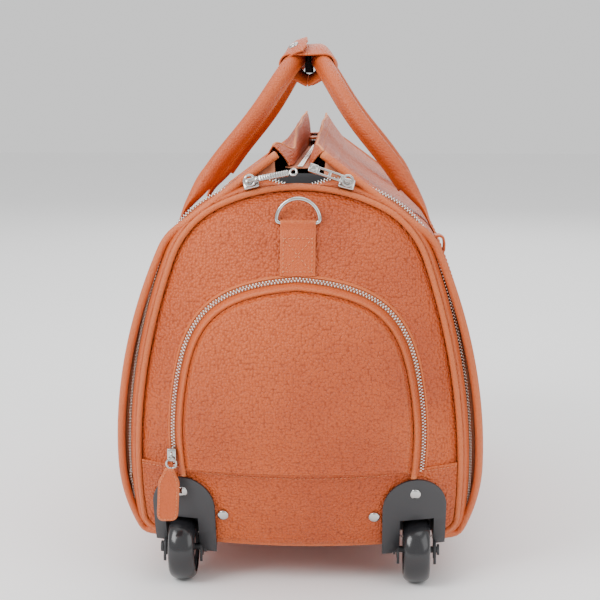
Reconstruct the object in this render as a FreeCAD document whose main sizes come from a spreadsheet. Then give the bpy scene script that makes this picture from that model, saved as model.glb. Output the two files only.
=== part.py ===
import FreeCAD, Part
import math
import os
import re
import Sketcher
from FreeCAD import Placement, Rotation, Vector

# Rolling leather holdall on two inline wheels with a telescopic tow handle.
# Origin: on the floor under the middle of the bag. +X to the right seen from the wheeled
# end, +Y from the wheeled end to the tow-handle end, +Z up. Millimetres.

DIMS = {
    # the two domed ends are parts of two large balls
    "dome_radius": 370, "dome_height": 201, "front_ball_y": 84, "middle_y": 6,
    # end panel outline, from the crown down
    "crown_radius": 160, "crown_angle": 26, "shoulder_radius": 78,
    "panel_side_radius": 620, "panel_side_height": 100, "panel_corner": 14, "panel_bottom": 46.5,
    # body outline
    "ridge_half": 22, "ridge_height": 393, "roof_shoulder": 45, "roof_angle": 36.9,
    "body_half": 165, "body_side_radius": 505, "body_side_height": 110, "body_low_radius": 160,
    "body_corner": 10, "body_bottom": 37.5,
    # leather, tape and piping
    "leather": 3, "lining": 0.8, "piping": 5, "tape": 1.2, "chain_width": 7, "chain_rise": 2,
    "seam_gap": 0.3, "band_top": 117, "band_thickness": 1.6,
    "mouth_half": 30, "roof_slot_half": 14,
    # pocket on the wheeled end
    "pocket_crown_angle": 34, "pocket_shoulder_radius": 84,
    "pocket_half": 107, "pocket_leg_top": 186, "pocket_bottom": 119, "pocket_bulge": 12,
    "pocket_tape": 8, "pocket_fold": 4,
    # wheels
    "wheel_x": 107, "wheel_y": -233, "wheel_radius": 30, "tyre_width": 24, "rim_radius": 23,
    "rim_width": 20, "hub_radius": 9.5, "bearing_radius": 8, "bearing_bore": 3.05,
    "axle_radius": 3, "spoke_width": 4, "tread_round": 6.5,
    # wheel housings
    "housing_half": 29, "housing_x": 104.5, "housing_low": 35, "housing_arch_z": 75,
    "housing_plate": 3.4, "notch_half": 15.5, "notch_top": 63, "well_wall": 2.5,
    "well_back": -198, "ear_half": 8, "ear_low": 21,
    "rivet_radius": 5.4, "housing_rivet_z": 90, "band_rivet_x": 68, "band_rivet_z": 68,
    # base, feet and tow handle
    "board_half": 128, "board_front": -188, "board_rear": 228, "board_low": 41, "board_high": 44,
    "foot_x": 100, "foot_y": 196, "foot_half_x": 16, "foot_half_y": 24, "foot_high": 37.2,
    "screw_radius": 2,
    "tube_x": 52, "tube_z": 51.3, "outer_half_w": 11, "outer_half_h": 7, "tube_wall": 1.2,
    "stage_gap": 0.3, "outer_front": -150, "outer_rear": 251.5, "stage_step": 8,
    "clamp_y": 120, "floor_low": 60, "floor_high": 63,
    "bezel_half": 75, "bezel_low": 39, "bezel_high": 80, "bezel_plate": 3.6,
    "recess_half": 67, "recess_depth": 24, "recess_low": 41, "recess_high": 69,
    "grip_half": 63, "grip_low": 43, "grip_high": 60, "grip_back": 279, "grip_tip": 298,
    "button_half": 17, "pin_radius": 1.5, "pin_length": 5,
    # strap tab and dee ring
    "tab_half": 15.5, "tab_low": 290, "tab_high": 330.5, "tab_thickness": 3.2,
    "ring_half": 19, "ring_wire": 1.7, "ring_z": 332.5,
    # zip sliders on the crown
    "zip_circle": 168.8, "slider_half": 7, "slider_angle": 14.2, "arm_long": 43,
    "arm_short": 34,
    # top placket and zip
    "placket_high": 400, "placket_rear": 232, "placket_front": -214,
    "top_zip_z": 377,
    # carry handles
    "grip_rod": 9.5, "handle_foot_x": 106, "handle_foot_z": 346, "handle_top_x": 12.4,
    "handle_top_z": 481, "handle_half": 118, "handle_bend": 84, "wrap_half": 37,
    "wrap_thickness": 2.4,
    # side pocket
    "side_zip_half": 62, "side_zip_z": 341,
}

doc = FreeCAD.newDocument("RollingHoldall")
sheet = doc.addObject("Spreadsheet::Sheet", "Dims")
for row, (alias, value) in enumerate(DIMS.items(), 1):
    sheet.set(f"A{row}", alias)
    sheet.set(f"B{row}", str(value))
    sheet.setAlias(f"B{row}", alias)
doc.recompute()

TURN = {
    "x": Rotation(Vector(0, 1, 0), 90),
    "y": Rotation(Vector(1, 0, 0), -90),
    "z": Rotation(),
}
XZ_PLANE = Rotation(Vector(1, 0, 0), 90)
LONG = 320          # farther than either end of the bag
SIDES = {"left": -1, "right": 1}
nodes = []


def size(alias):
    """A driving dimension as a number."""
    return float(sheet.get(alias))


def bind(obj, prop, formula):
    """Bind a property of obj to a formula in the sheet's aliases."""
    def cell(word):
        return "Dims." + word.group() if word.group() in DIMS else word.group()
    obj.setExpression(prop, re.sub(r"[a-z][a-z_]*", cell, str(formula)))


def add(kind, name, at=None, rotation=None, **props):
    """Add an object, bind its properties and put its base at the point of formulas."""
    obj = doc.addObject(kind, name)
    for prop, formula in props.items():
        bind(obj, prop, formula)
    if rotation is not None:
        obj.Placement = Placement(Vector(), rotation)
    for axis, formula in zip("xyz", at or ()):
        bind(obj, f".Placement.Base.{axis}", formula)
    return obj


def block(name, x, y, z):
    """A box between two formulas on each axis."""
    (x0, x1), (y0, y1), (z0, z1) = x, y, z
    return add("Part::Box", name, at=(x0, y0, z0), Length=f"({x1}) - ({x0})",
               Width=f"({y1}) - ({y0})", Height=f"({z1}) - ({z0})")


def rod(name, radius, length, at, axis="z"):
    """A cylinder that runs from at along an axis."""
    return add("Part::Cylinder", name, at=at, rotation=TURN[axis], Radius=radius, Height=length)


def ball(name, radius):
    """The ball whose skin is the wheeled end's dome, at a chosen radius."""
    return add("Part::Sphere", name, at=("0", "front_ball_y", "dome_height"), Radius=radius)


def cut(name, base, tool):
    """Base less tool."""
    obj = doc.addObject("Part::Cut", name)
    obj.Base = base
    obj.Tool = tool
    return obj


def combine(kind, name, shapes):
    """A boolean or group of several shapes: MultiFuse, MultiCommon or Compound."""
    obj = doc.addObject("Part::" + kind, name)
    setattr(obj, "Links" if kind == "Compound" else "Shapes", shapes)
    return obj


def fuse(name, *shapes):
    return combine("MultiFuse", name, list(shapes))


def common(name, *shapes):
    return combine("MultiCommon", name, list(shapes))


def group(name, *shapes):
    return combine("Compound", name, list(shapes))


def mirror(name, source, axis):
    """A mirror image in x about the middle plane, or in y about the bag's own middle."""
    obj = doc.addObject("Part::Mirroring", name)
    obj.Source = source
    obj.Normal = Vector(1, 0, 0) if axis == "x" else Vector(0, 1, 0)
    if axis == "y":
        bind(obj, ".Base.y", "middle_y")
    return obj


def node(obj):
    """Hand obj in as a sub-part; its Label names its file."""
    nodes.append(obj)
    return obj


def pair(left, suffix):
    """A left piece and its mirror image, both handed in."""
    node(left)
    return node(mirror("right_" + suffix, left, "x"))


def both_ends(front, suffix):
    """A piece of the wheeled end and its mirror image at the tow-handle end."""
    node(front)
    return node(mirror("rear_" + suffix, front, "y"))


def extrude(name, profile, front=LONG, rear=LONG):
    """A profile in the XZ plane stretched along Y."""
    obj = doc.addObject("Part::Extrusion", name)
    obj.Base = profile
    obj.DirMode = "Custom"
    obj.Dir = Vector(0, 1, 0)
    obj.LengthFwd = rear
    obj.LengthRev = front
    obj.Solid = True
    return obj


def offset(name, profile, distance):
    """A profile moved outwards by a formula, inwards when it is negative."""
    obj = doc.addObject("Part::Offset2D", name)
    obj.Source = profile
    bind(obj, "Value", distance)
    return obj


def outline(name, half, flat_top):
    """A closed outline, mirrored in x, from the arcs and lines of its right half.

    half runs from the top down. An arc is (centre, radius alias, start, end) in degrees,
    with the alias of its centre's x and z or None; a line is (top point, low point).
    """
    sketch = doc.addObject("Sketcher::SketchObject", name)
    sketch.Placement = Placement(Vector(), XZ_PLANE)

    def limit(kind, *args, alias=None):
        index = sketch.addConstraint(Sketcher.Constraint(kind, *args))
        if alias:
            bind(sketch, f"Constraints[{index}]", alias)

    ends = {}
    crown = half[0] if not flat_top else None
    first = {}
    if crown:
        centre, radius, start, _ = crown
        circle = Part.Circle(Vector(*centre[:2], 0), Vector(0, 0, 1), size(radius))
        arc = sketch.addGeometry(Part.ArcOfCircle(circle, math.radians(start),
                                                  math.radians(180 - start)), False)
        limit("Radius", arc, size(radius), alias=radius)
        limit("PointOnObject", arc, 3, -2)
        limit("DistanceY", -1, 1, arc, 3, centre[1], alias=centre[3])
        ends = {1: (arc, 1), -1: (arc, 2)}
    for side in (1, -1):
        previous = ends.get(side)
        for piece in half[1:] if crown else half:
            if len(piece) == 2:
                top, low = (Vector(side * p[0], p[1], 0) for p in piece)
                geo = sketch.addGeometry(Part.LineSegment(top, low), False)
                upper, lower = 1, 2
            else:
                centre, radius, start, end = piece
                if side < 0:
                    start, end = 180 - end, 180 - start
                circle = Part.Circle(Vector(side * centre[0], centre[1], 0), Vector(0, 0, 1),
                                     size(radius))
                geo = sketch.addGeometry(Part.ArcOfCircle(circle, math.radians(start),
                                                          math.radians(end)), False)
                upper, lower = (2, 1) if side > 0 else (1, 2)
                limit("Radius", geo, size(radius), alias=radius)
                if len(centre) > 3 and centre[3]:
                    limit("DistanceY", -1, 1, geo, 3, centre[1], alias=centre[3])
            if previous:
                limit("Tangent", *previous, geo, upper)
            else:
                first[side] = (geo, upper)
            previous = (geo, lower)
        ends[side] = previous
    bottom = sketch.addGeometry(Part.LineSegment(
        *(sketch.getPoint(*ends[side]) for side in (1, -1))), False)
    limit("Tangent", *ends[1], bottom, 1)
    limit("Tangent", *ends[-1], bottom, 2)
    limit("Horizontal", bottom)
    if flat_top:
        top = sketch.addGeometry(Part.LineSegment(
            *(sketch.getPoint(*first[side]) for side in (1, -1))), False)
        limit("Coincident", *first[1], top, 1)
        limit("Coincident", *first[-1], top, 2)
        limit("Horizontal", top)
        limit("DistanceX", -1, 1, *first[1], sketch.getPoint(*first[1]).x, alias=flat_top[0])
        limit("DistanceX", *first[-1], -1, 1, sketch.getPoint(*first[1]).x, alias=flat_top[0])
        limit("DistanceY", -1, 1, *first[1], sketch.getPoint(*first[1]).y, alias=flat_top[1])
    doc.recompute()
    return sketch, bottom


def polar(centre, distance, angle):
    """The point at a distance and an angle in degrees from centre."""
    turn = math.radians(angle)
    return centre[0] + distance * math.cos(turn), centre[1] + distance * math.sin(turn)


def corner_centre(side, side_radius, corner, low):
    """Centre of the corner arc inside a side arc and on the line at height low."""
    rise = low + corner - side[1]
    reach = math.sqrt((side_radius - corner) ** 2 - rise ** 2)
    return (side[0] + reach, low + corner), math.degrees(math.atan2(rise, reach))


# ---------------------------------------------------------------- outlines
def panel_outline():
    """The end panel: crown, shoulders, long sides and low corners, all tangent."""
    crown = (0, size("dome_height"))
    split = 90 - size("crown_angle")
    shoulder = polar(crown, size("crown_radius") - size("shoulder_radius"), split)
    reach = size("panel_side_radius") - size("shoulder_radius")
    lean = math.degrees(math.asin((shoulder[1] - size("panel_side_height")) / reach))
    side = polar(shoulder, -reach, lean)
    corner, dip = corner_centre(side, size("panel_side_radius"), size("panel_corner"),
                                size("panel_bottom"))
    half = [
        ((*crown, None, "dome_height"), "crown_radius", split, 90),
        (shoulder, "shoulder_radius", lean, split),
        ((*side, None, "panel_side_height"), "panel_side_radius", dip, lean),
        (corner, "panel_corner", -90, dip),
    ]
    return outline("panel_outline", half, None)[0]


def body_outline():
    """The wrap: sloping roof, shoulder, full sides and low corners."""
    slope = 90 - size("roof_angle")
    high = (size("body_half") - size("body_side_radius"), size("body_side_height"))
    reach = size("body_side_radius") - size("roof_shoulder")
    across = math.cos(math.radians(slope))
    up = math.sin(math.radians(slope))
    line = across * size("ridge_half") + up * size("ridge_height") - size("roof_shoulder")
    apart = line - across * high[0] - up * high[1]
    lean = slope - math.degrees(math.acos(apart / reach))
    shoulder = polar(high, reach, lean)
    eave = polar(shoulder, size("roof_shoulder"), slope)
    low = (size("body_half") - size("body_low_radius"), size("body_side_height"))
    corner, dip = corner_centre(low, size("body_low_radius"), size("body_corner"),
                                size("body_bottom"))
    half = [
        ((size("ridge_half"), size("ridge_height")), eave),
        (shoulder, "roof_shoulder", lean, slope),
        ((*high, None, "body_side_height"), "body_side_radius", 0, lean),
        ((*low, None, "body_side_height"), "body_low_radius", dip, 0),
        (corner, "body_corner", -90, dip),
    ]
    return outline("body_outline", half, ("ridge_half", "ridge_height"))[0]


def pocket_outline():
    """The pocket: an arch on straight legs."""
    leg = size("pocket_half")
    shoulder_x = leg - size("pocket_shoulder_radius")
    shoulder = (shoulder_x, size("pocket_leg_top"))
    split = 90 - size("pocket_crown_angle")
    crown_z = shoulder[1] - shoulder_x * math.tan(math.radians(split))
    sketch = doc.addObject("Sketcher::SketchObject", "pocket_outline")
    sketch.Placement = Placement(Vector(), XZ_PLANE)
    crown_radius = shoulder_x / math.cos(math.radians(split)) + size("pocket_shoulder_radius")
    pieces = [Part.ArcOfCircle(Part.Circle(Vector(0, crown_z, 0), Vector(0, 0, 1), crown_radius),
                               math.radians(split), math.radians(180 - split))]
    for side in (1, -1):
        circle = Part.Circle(Vector(side * shoulder[0], shoulder[1], 0), Vector(0, 0, 1),
                             size("pocket_shoulder_radius"))
        start, end = (0, split) if side > 0 else (180 - split, 180)
        pieces.append(Part.ArcOfCircle(circle, math.radians(start), math.radians(end)))
        pieces.append(Part.LineSegment(Vector(side * leg, shoulder[1], 0),
                                       Vector(side * leg, size("pocket_bottom"), 0)))
    pieces.append(Part.LineSegment(Vector(leg, size("pocket_bottom"), 0),
                                   Vector(-leg, size("pocket_bottom"), 0)))
    crown, right, right_leg, left, left_leg, base = (
        sketch.addGeometry(piece, False) for piece in pieces)

    def limit(kind, *args, alias=None):
        index = sketch.addConstraint(Sketcher.Constraint(kind, *args))
        if alias:
            bind(sketch, f"Constraints[{index}]", alias)

    limit("Tangent", crown, 1, right, 2)
    limit("Tangent", crown, 2, left, 1)
    limit("Tangent", right, 1, right_leg, 1)
    limit("Tangent", left, 2, left_leg, 1)
    limit("Coincident", right_leg, 2, base, 1)
    limit("Coincident", left_leg, 2, base, 2)
    limit("Horizontal", base)
    limit("Vertical", right_leg)
    limit("Vertical", left_leg)
    limit("PointOnObject", crown, 3, -2)
    limit("DistanceX", -1, 1, right_leg, 1, leg, alias="pocket_half")
    limit("DistanceX", left_leg, 1, -1, 1, leg, alias="pocket_half")
    limit("DistanceY", -1, 1, right, 3, shoulder[1], alias="pocket_leg_top")
    limit("DistanceY", -1, 1, base, 1, size("pocket_bottom"), alias="pocket_bottom")
    limit("Radius", right, size("pocket_shoulder_radius"), alias="pocket_shoulder_radius")
    limit("Radius", left, size("pocket_shoulder_radius"), alias="pocket_shoulder_radius")
    doc.recompute()
    return sketch


panel = panel_outline()
body = body_outline()
pocket = pocket_outline()


def ring(name, profile, outer, inner):
    """The band between two offsets of a profile, stretched along Y."""
    edge = profile if outer == "0" else offset(name + "_outer", profile, outer)
    inside = extrude(name + "_inside", offset(name + "_inner", profile, inner))
    return cut(name + "_prism", extrude(name + "_outside", edge), inside)


def skin(name, outer, inner):
    """A thin shell of the wheeled end's ball."""
    return cut(name + "_skin", ball(name + "_ball", outer), ball(name + "_core", inner))


def front_half(name):
    """Everything on the wheeled end's side of the bag's middle."""
    return block(name + "_half", (-LONG, LONG), (-LONG, "middle_y"), (0, 2 * LONG))


def end_layer(name, solid, outer, inner):
    """A layer of the wheeled end: part of a stretched profile between two balls."""
    return common(name, solid, skin(name, outer, inner), front_half(name))


def well_room():
    """The room that the wheels, their wells and axles take out of the bag's lower corners."""
    reach = "(notch_half + well_wall + 4)"
    left = block("left_room", (f"-wheel_x - {reach}", f"-wheel_x + {reach}"),
                 (-LONG, "well_back + well_wall + 0.3"), ("0", "notch_top + well_wall + 0.3"))
    return fuse("wheel_room", left, mirror("right_room", left, "x"))


wheel_room = well_room()


# ---------------------------------------------------------------- body and ends
def make_body():
    """The wrap of the bag, its lining and the two halves of the roof beside the top zip."""
    slot = block("roof_slot", ("-roof_slot_half", "roof_slot_half"), (-LONG, LONG),
                 ("top_zip_z - 27", LONG * 2))
    tube = ring("wrap", body, "0", "-leather")
    front = common("wrap_front", tube, ball("wrap_ball", "dome_radius"), front_half("wrap"))
    closed = fuse("wrap_closed", front, mirror("wrap_rear", front, "y"))
    node(cut("body_shell", closed, fuse("shell_openings", slot, wheel_room)))
    lined = ring("lining", body, "-leather - seam_gap", "-leather - seam_gap - lining")
    above = block("lining_height", (-LONG, LONG), (-LONG, LONG), ("floor_high + 1", 2 * LONG))
    front = common("lining_front", lined, ball("lining_ball", "dome_radius - 8"),
                   front_half("lining"), above)
    closed = fuse("lining_closed", front, mirror("lining_rear", front, "y"))
    node(cut("lining", closed, slot))


def make_ends():
    """The zipped end over the wheels and the sewn end round the tow handle."""
    field = extrude("panel_prism", panel)
    layer = end_layer("front_layer", field, "dome_radius", "dome_radius - leather")
    node(cut("front_end_panel", layer, wheel_room))
    whole = extrude("rear_prism", offset("rear_edge", body, "-leather - seam_gap"))
    rear_layer = end_layer("rear_layer", whole, "dome_radius", "dome_radius - leather")
    hatch = block("tube_hatch", ("-recess_half - 2", "recess_half + 2"), ("0", LONG),
                  ("recess_low - 2", "recess_high + 2"))
    node(cut("rear_end_panel", mirror("rear_face", rear_layer, "y"), hatch))
    piping = ring("piping", panel, "piping", "seam_gap")
    trim = end_layer("front_trim", piping, "dome_radius + 2", "dome_radius - leather")
    node(cut("front_piping", trim, wheel_room))
    trim = end_layer("rear_trim", ring("rear_trim", panel, "piping", "seam_gap"),
                     "dome_radius + 2", "dome_radius + 0.1")
    node(cut("rear_piping", mirror("rear_trim_face", trim, "y"), hatch))
    gap = ring_to_panel()
    tape = end_layer("tape_layer", gap, "dome_radius - 1", "dome_radius - 1 - tape")
    chain_ring = ring("chain", panel, "piping + seam_gap + chain_width", "piping + seam_gap")
    chain_path = common("chain_path", chain_ring, gap)
    chain = end_layer("chain_layer", chain_path, "dome_radius + 1", "dome_radius - 1")
    mouth = block("mouth", ("-mouth_half", "mouth_half"), (-LONG, "0"), ("dome_height", 2 * LONG))
    openings = fuse("zip_openings", common("mouth_slit", mouth, chain_path), wheel_room)
    node(cut("front_zip", fuse("zip_closed", tape, chain), openings))
    low = block("band_height", (-LONG, LONG), (-LONG, LONG), ("0", "band_top"))
    inner_field = extrude("band_prism", offset("band_edge", panel, "-seam_gap"))
    layer = common("band_layer", inner_field, low,
                   skin("band", "dome_radius + 0.1 + band_thickness", "dome_radius + 0.1"),
                   front_half("band"))
    node(cut("front_bottom_band", layer, wheel_room))


def ring_to_panel():
    """The gap between the piping and the wrap, which the zip tape fills."""
    outside = extrude("tape_outside", offset("tape_outer", body,
                                             "-leather - 2 * seam_gap - lining"))
    inside = extrude("tape_inside", offset("tape_inner", panel, "piping + seam_gap"))
    return cut("tape_gap", outside, inside)


def make_pocket():
    """The domed pocket on the wheeled end with its zip and piping."""
    prism = extrude("pocket_prism", pocket)
    face = end_layer("pocket_face", prism, "dome_radius + pocket_bulge",
                     "dome_radius + pocket_bulge - leather")
    wall = ring("pocket_wall", pocket, "0", "-leather")
    gusset = end_layer("pocket_gusset", wall, "dome_radius + pocket_bulge - 1",
                       "dome_radius + 0.1")
    node(fuse("pocket_panel", face, gusset))
    above = block("pocket_above", (-LONG, LONG), (-LONG, "0"), ("band_top + 1", 2 * LONG))
    layers = {
        "pocket_tape": ("pocket_tape", "seam_gap", "tape", "0"),
        "pocket_chain": ("seam_gap + chain_width", "seam_gap", "tape + chain_rise", "0"),
        "pocket_piping": ("pocket_tape + pocket_fold", "pocket_tape + seam_gap", "3", "0"),
    }
    made = {}
    for name, (outer, inner, high, low) in layers.items():
        strip = common(name + "_above", ring(name, pocket, outer, inner), above)
        made[name] = end_layer(name, strip, f"dome_radius + 0.1 + {high}",
                               f"dome_radius + 0.1 + {low}")
    node(fuse("pocket_zip", made["pocket_tape"], made["pocket_chain"]))
    node(made["pocket_piping"])


# ---------------------------------------------------------------- wheels
def make_wheels():
    """Inline wheels on ball bearings, in moulded housings with an axle each."""
    at = ("wheel_y", "wheel_radius")
    centre = "-wheel_x"

    def disc(name, radius, width):
        return rod(name, radius, width, (f"{centre} - ({width}) / 2", *at), "x")

    tread = cut("tread_ring", disc("tread", "wheel_radius", "tyre_width"),
                disc("tread_hole", "rim_radius", "tyre_width + 2"))
    tyre = doc.addObject("Part::Fillet", "left_tyre")
    tyre.Base = tread
    doc.recompute()
    rims = [i + 1 for i, edge in enumerate(tread.Shape.Edges)
            if hasattr(edge.Curve, "Radius") and abs(edge.Curve.Radius - size("wheel_radius")) < 0.1
            and edge.Length > 6 * size("wheel_radius")]
    tyre.Edges = [(index, size("tread_round"), size("tread_round")) for index in rims]
    pair(tyre, "tyre")
    band = cut("rim_band", disc("rim_outer", "rim_radius - 0.02", "rim_width"),
               disc("rim_inner", "rim_radius - 3", "rim_width + 2"))
    hub = disc("hub", "hub_radius", "rim_width")
    spokes = []
    for index in range(5):
        spoke = add("Part::Box", f"spoke_{index}", at=(f"{centre} - rim_width / 2 + 3", *at),
                    rotation=Rotation(Vector(1, 0, 0), 72 * index), Length="rim_width - 6",
                    Width="spoke_width", Height="rim_radius - 2")
        spokes.append(spoke)
    wheel = fuse("rim_solid", band, hub, *spokes)
    pair(cut("left_rim", wheel, disc("rim_bore", "bearing_radius", "rim_width + 2")), "rim")
    races = []
    for index, start in enumerate(("- rim_width / 2", "+ rim_width / 2 - 5")):
        outer = rod(f"race_{index}", "bearing_radius - 0.01", "5", (centre + start, *at), "x")
        bore = rod(f"race_bore_{index}", "bearing_bore", "9", (centre + start + " - 2", *at), "x")
        races.append(cut(f"bearing_{index}", outer, bore))
    pair(group("left_bearings", *races), "bearings")
    reach = "notch_half + well_wall + 1"
    shaft = rod("axle_shaft", "axle_radius", f"2 * ({reach})", (f"{centre} - ({reach})", *at),
                "x")
    heads = []
    for index, start in enumerate((f"- ({reach}) - 2", f"+ {reach}")):
        heads.append(rod(f"axle_head_{index}", "5", "2", (centre + start, *at), "x"))
    axle = fuse("left_axle", shaft, *heads)
    node(group("axles", axle, mirror("right_axle", axle, "x")))


def make_housings():
    """Arched plates over the band, each with a well that the wheel stands in."""
    plate_x = "-housing_x"
    stem = block("plate_stem", (f"{plate_x} - housing_half", f"{plate_x} + housing_half"),
                 (-LONG, "0"), ("housing_low", "housing_arch_z"))
    arch = rod("plate_arch", "housing_half", LONG, (plate_x, -LONG, "housing_arch_z"), "y")
    notch = block("plate_notch", ("-wheel_x - notch_half", "-wheel_x + notch_half"),
                  (-LONG, "well_back"), ("ear_low - 9", "notch_top"))
    plate = common("plate", fuse("plate_prism", stem, arch),
                   skin("plate", "dome_radius + 2.2 + housing_plate", "dome_radius + 2.2"),
                   front_half("plate"))
    wall = "notch_half + well_wall"
    box = block("well_box", (f"-wheel_x - ({wall})", f"-wheel_x + {wall}"),
                ("-250", "well_back + well_wall"), ("ear_low + ear_half", "notch_top + well_wall"))
    ear = rod("ear_round", "ear_half", f"2 * ({wall})",
              (f"-wheel_x - ({wall})", "wheel_y", "wheel_radius"), "x")
    trimmed = common("well_in_dome", box, ball("well_ball", "dome_radius + 3"))
    body_part = fuse("housing_solid", plate, trimmed, ear)
    hollow = cut("housing_hollow", body_part, notch)
    bore = rod("axle_bore", "axle_radius + 0.01", "60", ("-wheel_x - 30", "wheel_y",
                                                        "wheel_radius"), "x")
    bored = cut("housing_bored", hollow, bore)
    pair(cut("left_wheel_housing", bored, well_trim()), "wheel_housing")


def well_trim():
    """Clears the well's low edge behind and in front of the ears."""
    low = "body_bottom - 0.5"
    behind = block("trim_behind", ("-housing_x - 40", "-housing_x + 40"),
                   ("wheel_y + ear_half", "0"), ("0", low))
    before = block("trim_before", ("-housing_x - 40", "-housing_x + 40"),
                   (-LONG, "wheel_y - ear_half"), ("0", "housing_low"))
    return fuse("well_trim", behind, before)


def on_dome(x, z, radius):
    """Y of the wheeled end's ball of a given radius at x and z, as a formula."""
    return f"(front_ball_y - sqrt(({radius})^2 - ({x})^2 - ({z} - dome_height)^2))"


def make_fixings():
    """Rivets, feet and screws."""
    rivets = []
    heads = {"housing_rivets": ("housing_x", "housing_rivet_z",
                                "dome_radius + 2.3 + housing_plate"),
             "band_rivets": ("band_rivet_x", "band_rivet_z", "dome_radius + 0.2 + band_thickness")}
    for name, (x, z, base) in heads.items():
        for side, sign in SIDES.items():
            stud = rod(f"{name}_{side}_stud", "rivet_radius", LONG, (f"{sign} * {x}", -LONG, z),
                       "y")
            rivets.append(common(f"{name}_{side}", stud, skin(f"{name}_{side}", f"{base} + 2",
                                                              base), front_half(f"{name}_{side}")))
    node(group("rivets", *rivets))
    foot = block("foot_block", ("-foot_x - foot_half_x", "-foot_x + foot_half_x"),
                 ("foot_y - foot_half_y", "foot_y + foot_half_y"), ("0", "foot_high"))
    bevelled = doc.addObject("Part::Chamfer", "left_foot")
    bevelled.Base = foot
    doc.recompute()
    low_edges = [i + 1 for i, edge in enumerate(foot.Shape.Edges)
                 if edge.BoundBox.ZMax < 0.1]
    bevelled.Edges = [(index, 3, 3) for index in low_edges]
    node(group("rear_feet", bevelled, mirror("right_foot", bevelled, "x")))
    screws = []
    for side, sign in SIDES.items():
        for end in (-1, 1):
            screws.append(rod(f"foot_screw_{side}_{end + 1}", "screw_radius", "2.4",
                              (f"{sign} * foot_x", f"foot_y + {end * 14}", "board_high + 0.1")))
    face = on_dome("bezel_half - 4", "(bezel_high - 5)", "dome_radius + 3 + bezel_plate")
    for side, sign in SIDES.items():
        screws.append(rod(f"bezel_screw_{side}", "screw_radius", "1.6",
                          (f"{sign} * (bezel_half - 4)", f"2 * middle_y - {face}",
                           "bezel_high - 5"), "y"))
    node(group("screws", *screws))


# ---------------------------------------------------------------- base and tow handle
def section(name, half_w, half_h, rear, front, side):
    """A rectangular bar of one tube stage."""
    sign = SIDES[side]
    centre = f"{sign} * tube_x"
    return block(f"{name}_{side}", (f"{centre} - ({half_w})", f"{centre} + {half_w}"),
                 (front, rear), (f"tube_z - ({half_h})", f"tube_z + {half_h}"))


def hollow_tubes(name, shrink, front, rear):
    """Two rectangular tubes, each shrunk by a formula from the outer stage."""
    tubes = []
    for side in SIDES:
        outer = section(name + "_out", f"(outer_half_w - ({shrink}))",
                        f"(outer_half_h - ({shrink}))", rear, front, side)
        inner = section(name + "_in", f"(outer_half_w - ({shrink}) - tube_wall)",
                        f"(outer_half_h - ({shrink}) - tube_wall)", f"{rear} + 1",
                        f"{front} - 1", side)
        tubes.append(cut(f"{name}_{side}", outer, inner))
    return group(name, *tubes)


def make_base():
    """Bottom panel, base board, tube clamps and the padded floor."""
    node(block("base_board", ("-board_half", "board_half"), ("board_front", "board_rear"),
               ("board_low", "board_high")))
    clamps = []
    for side, sign in SIDES.items():
        for end in (-1, 1):
            name = f"clamp_{side}_{end + 1}"
            saddle = block(name + "_out", (f"{sign} * tube_x - 18", f"{sign} * tube_x + 18"),
                           (f"{end} * clamp_y - 8", f"{end} * clamp_y + 8"),
                           ("board_high + 0.1", "tube_z + outer_half_h + 1.3"))
            gap = block(name + "_in", (f"{sign} * tube_x - outer_half_w - 0.1",
                                       f"{sign} * tube_x + outer_half_w + 0.1"),
                        (f"{end} * clamp_y - 9", f"{end} * clamp_y + 9"),
                        ("board_low", "tube_z + outer_half_h + 0.1"))
            clamps.append(cut(name, saddle, gap))
    node(group("tube_clamps", *clamps))
    node(block("false_floor", ("-board_half", "board_half"), ("board_front", "board_rear"),
               ("floor_low", "floor_high")))


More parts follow.
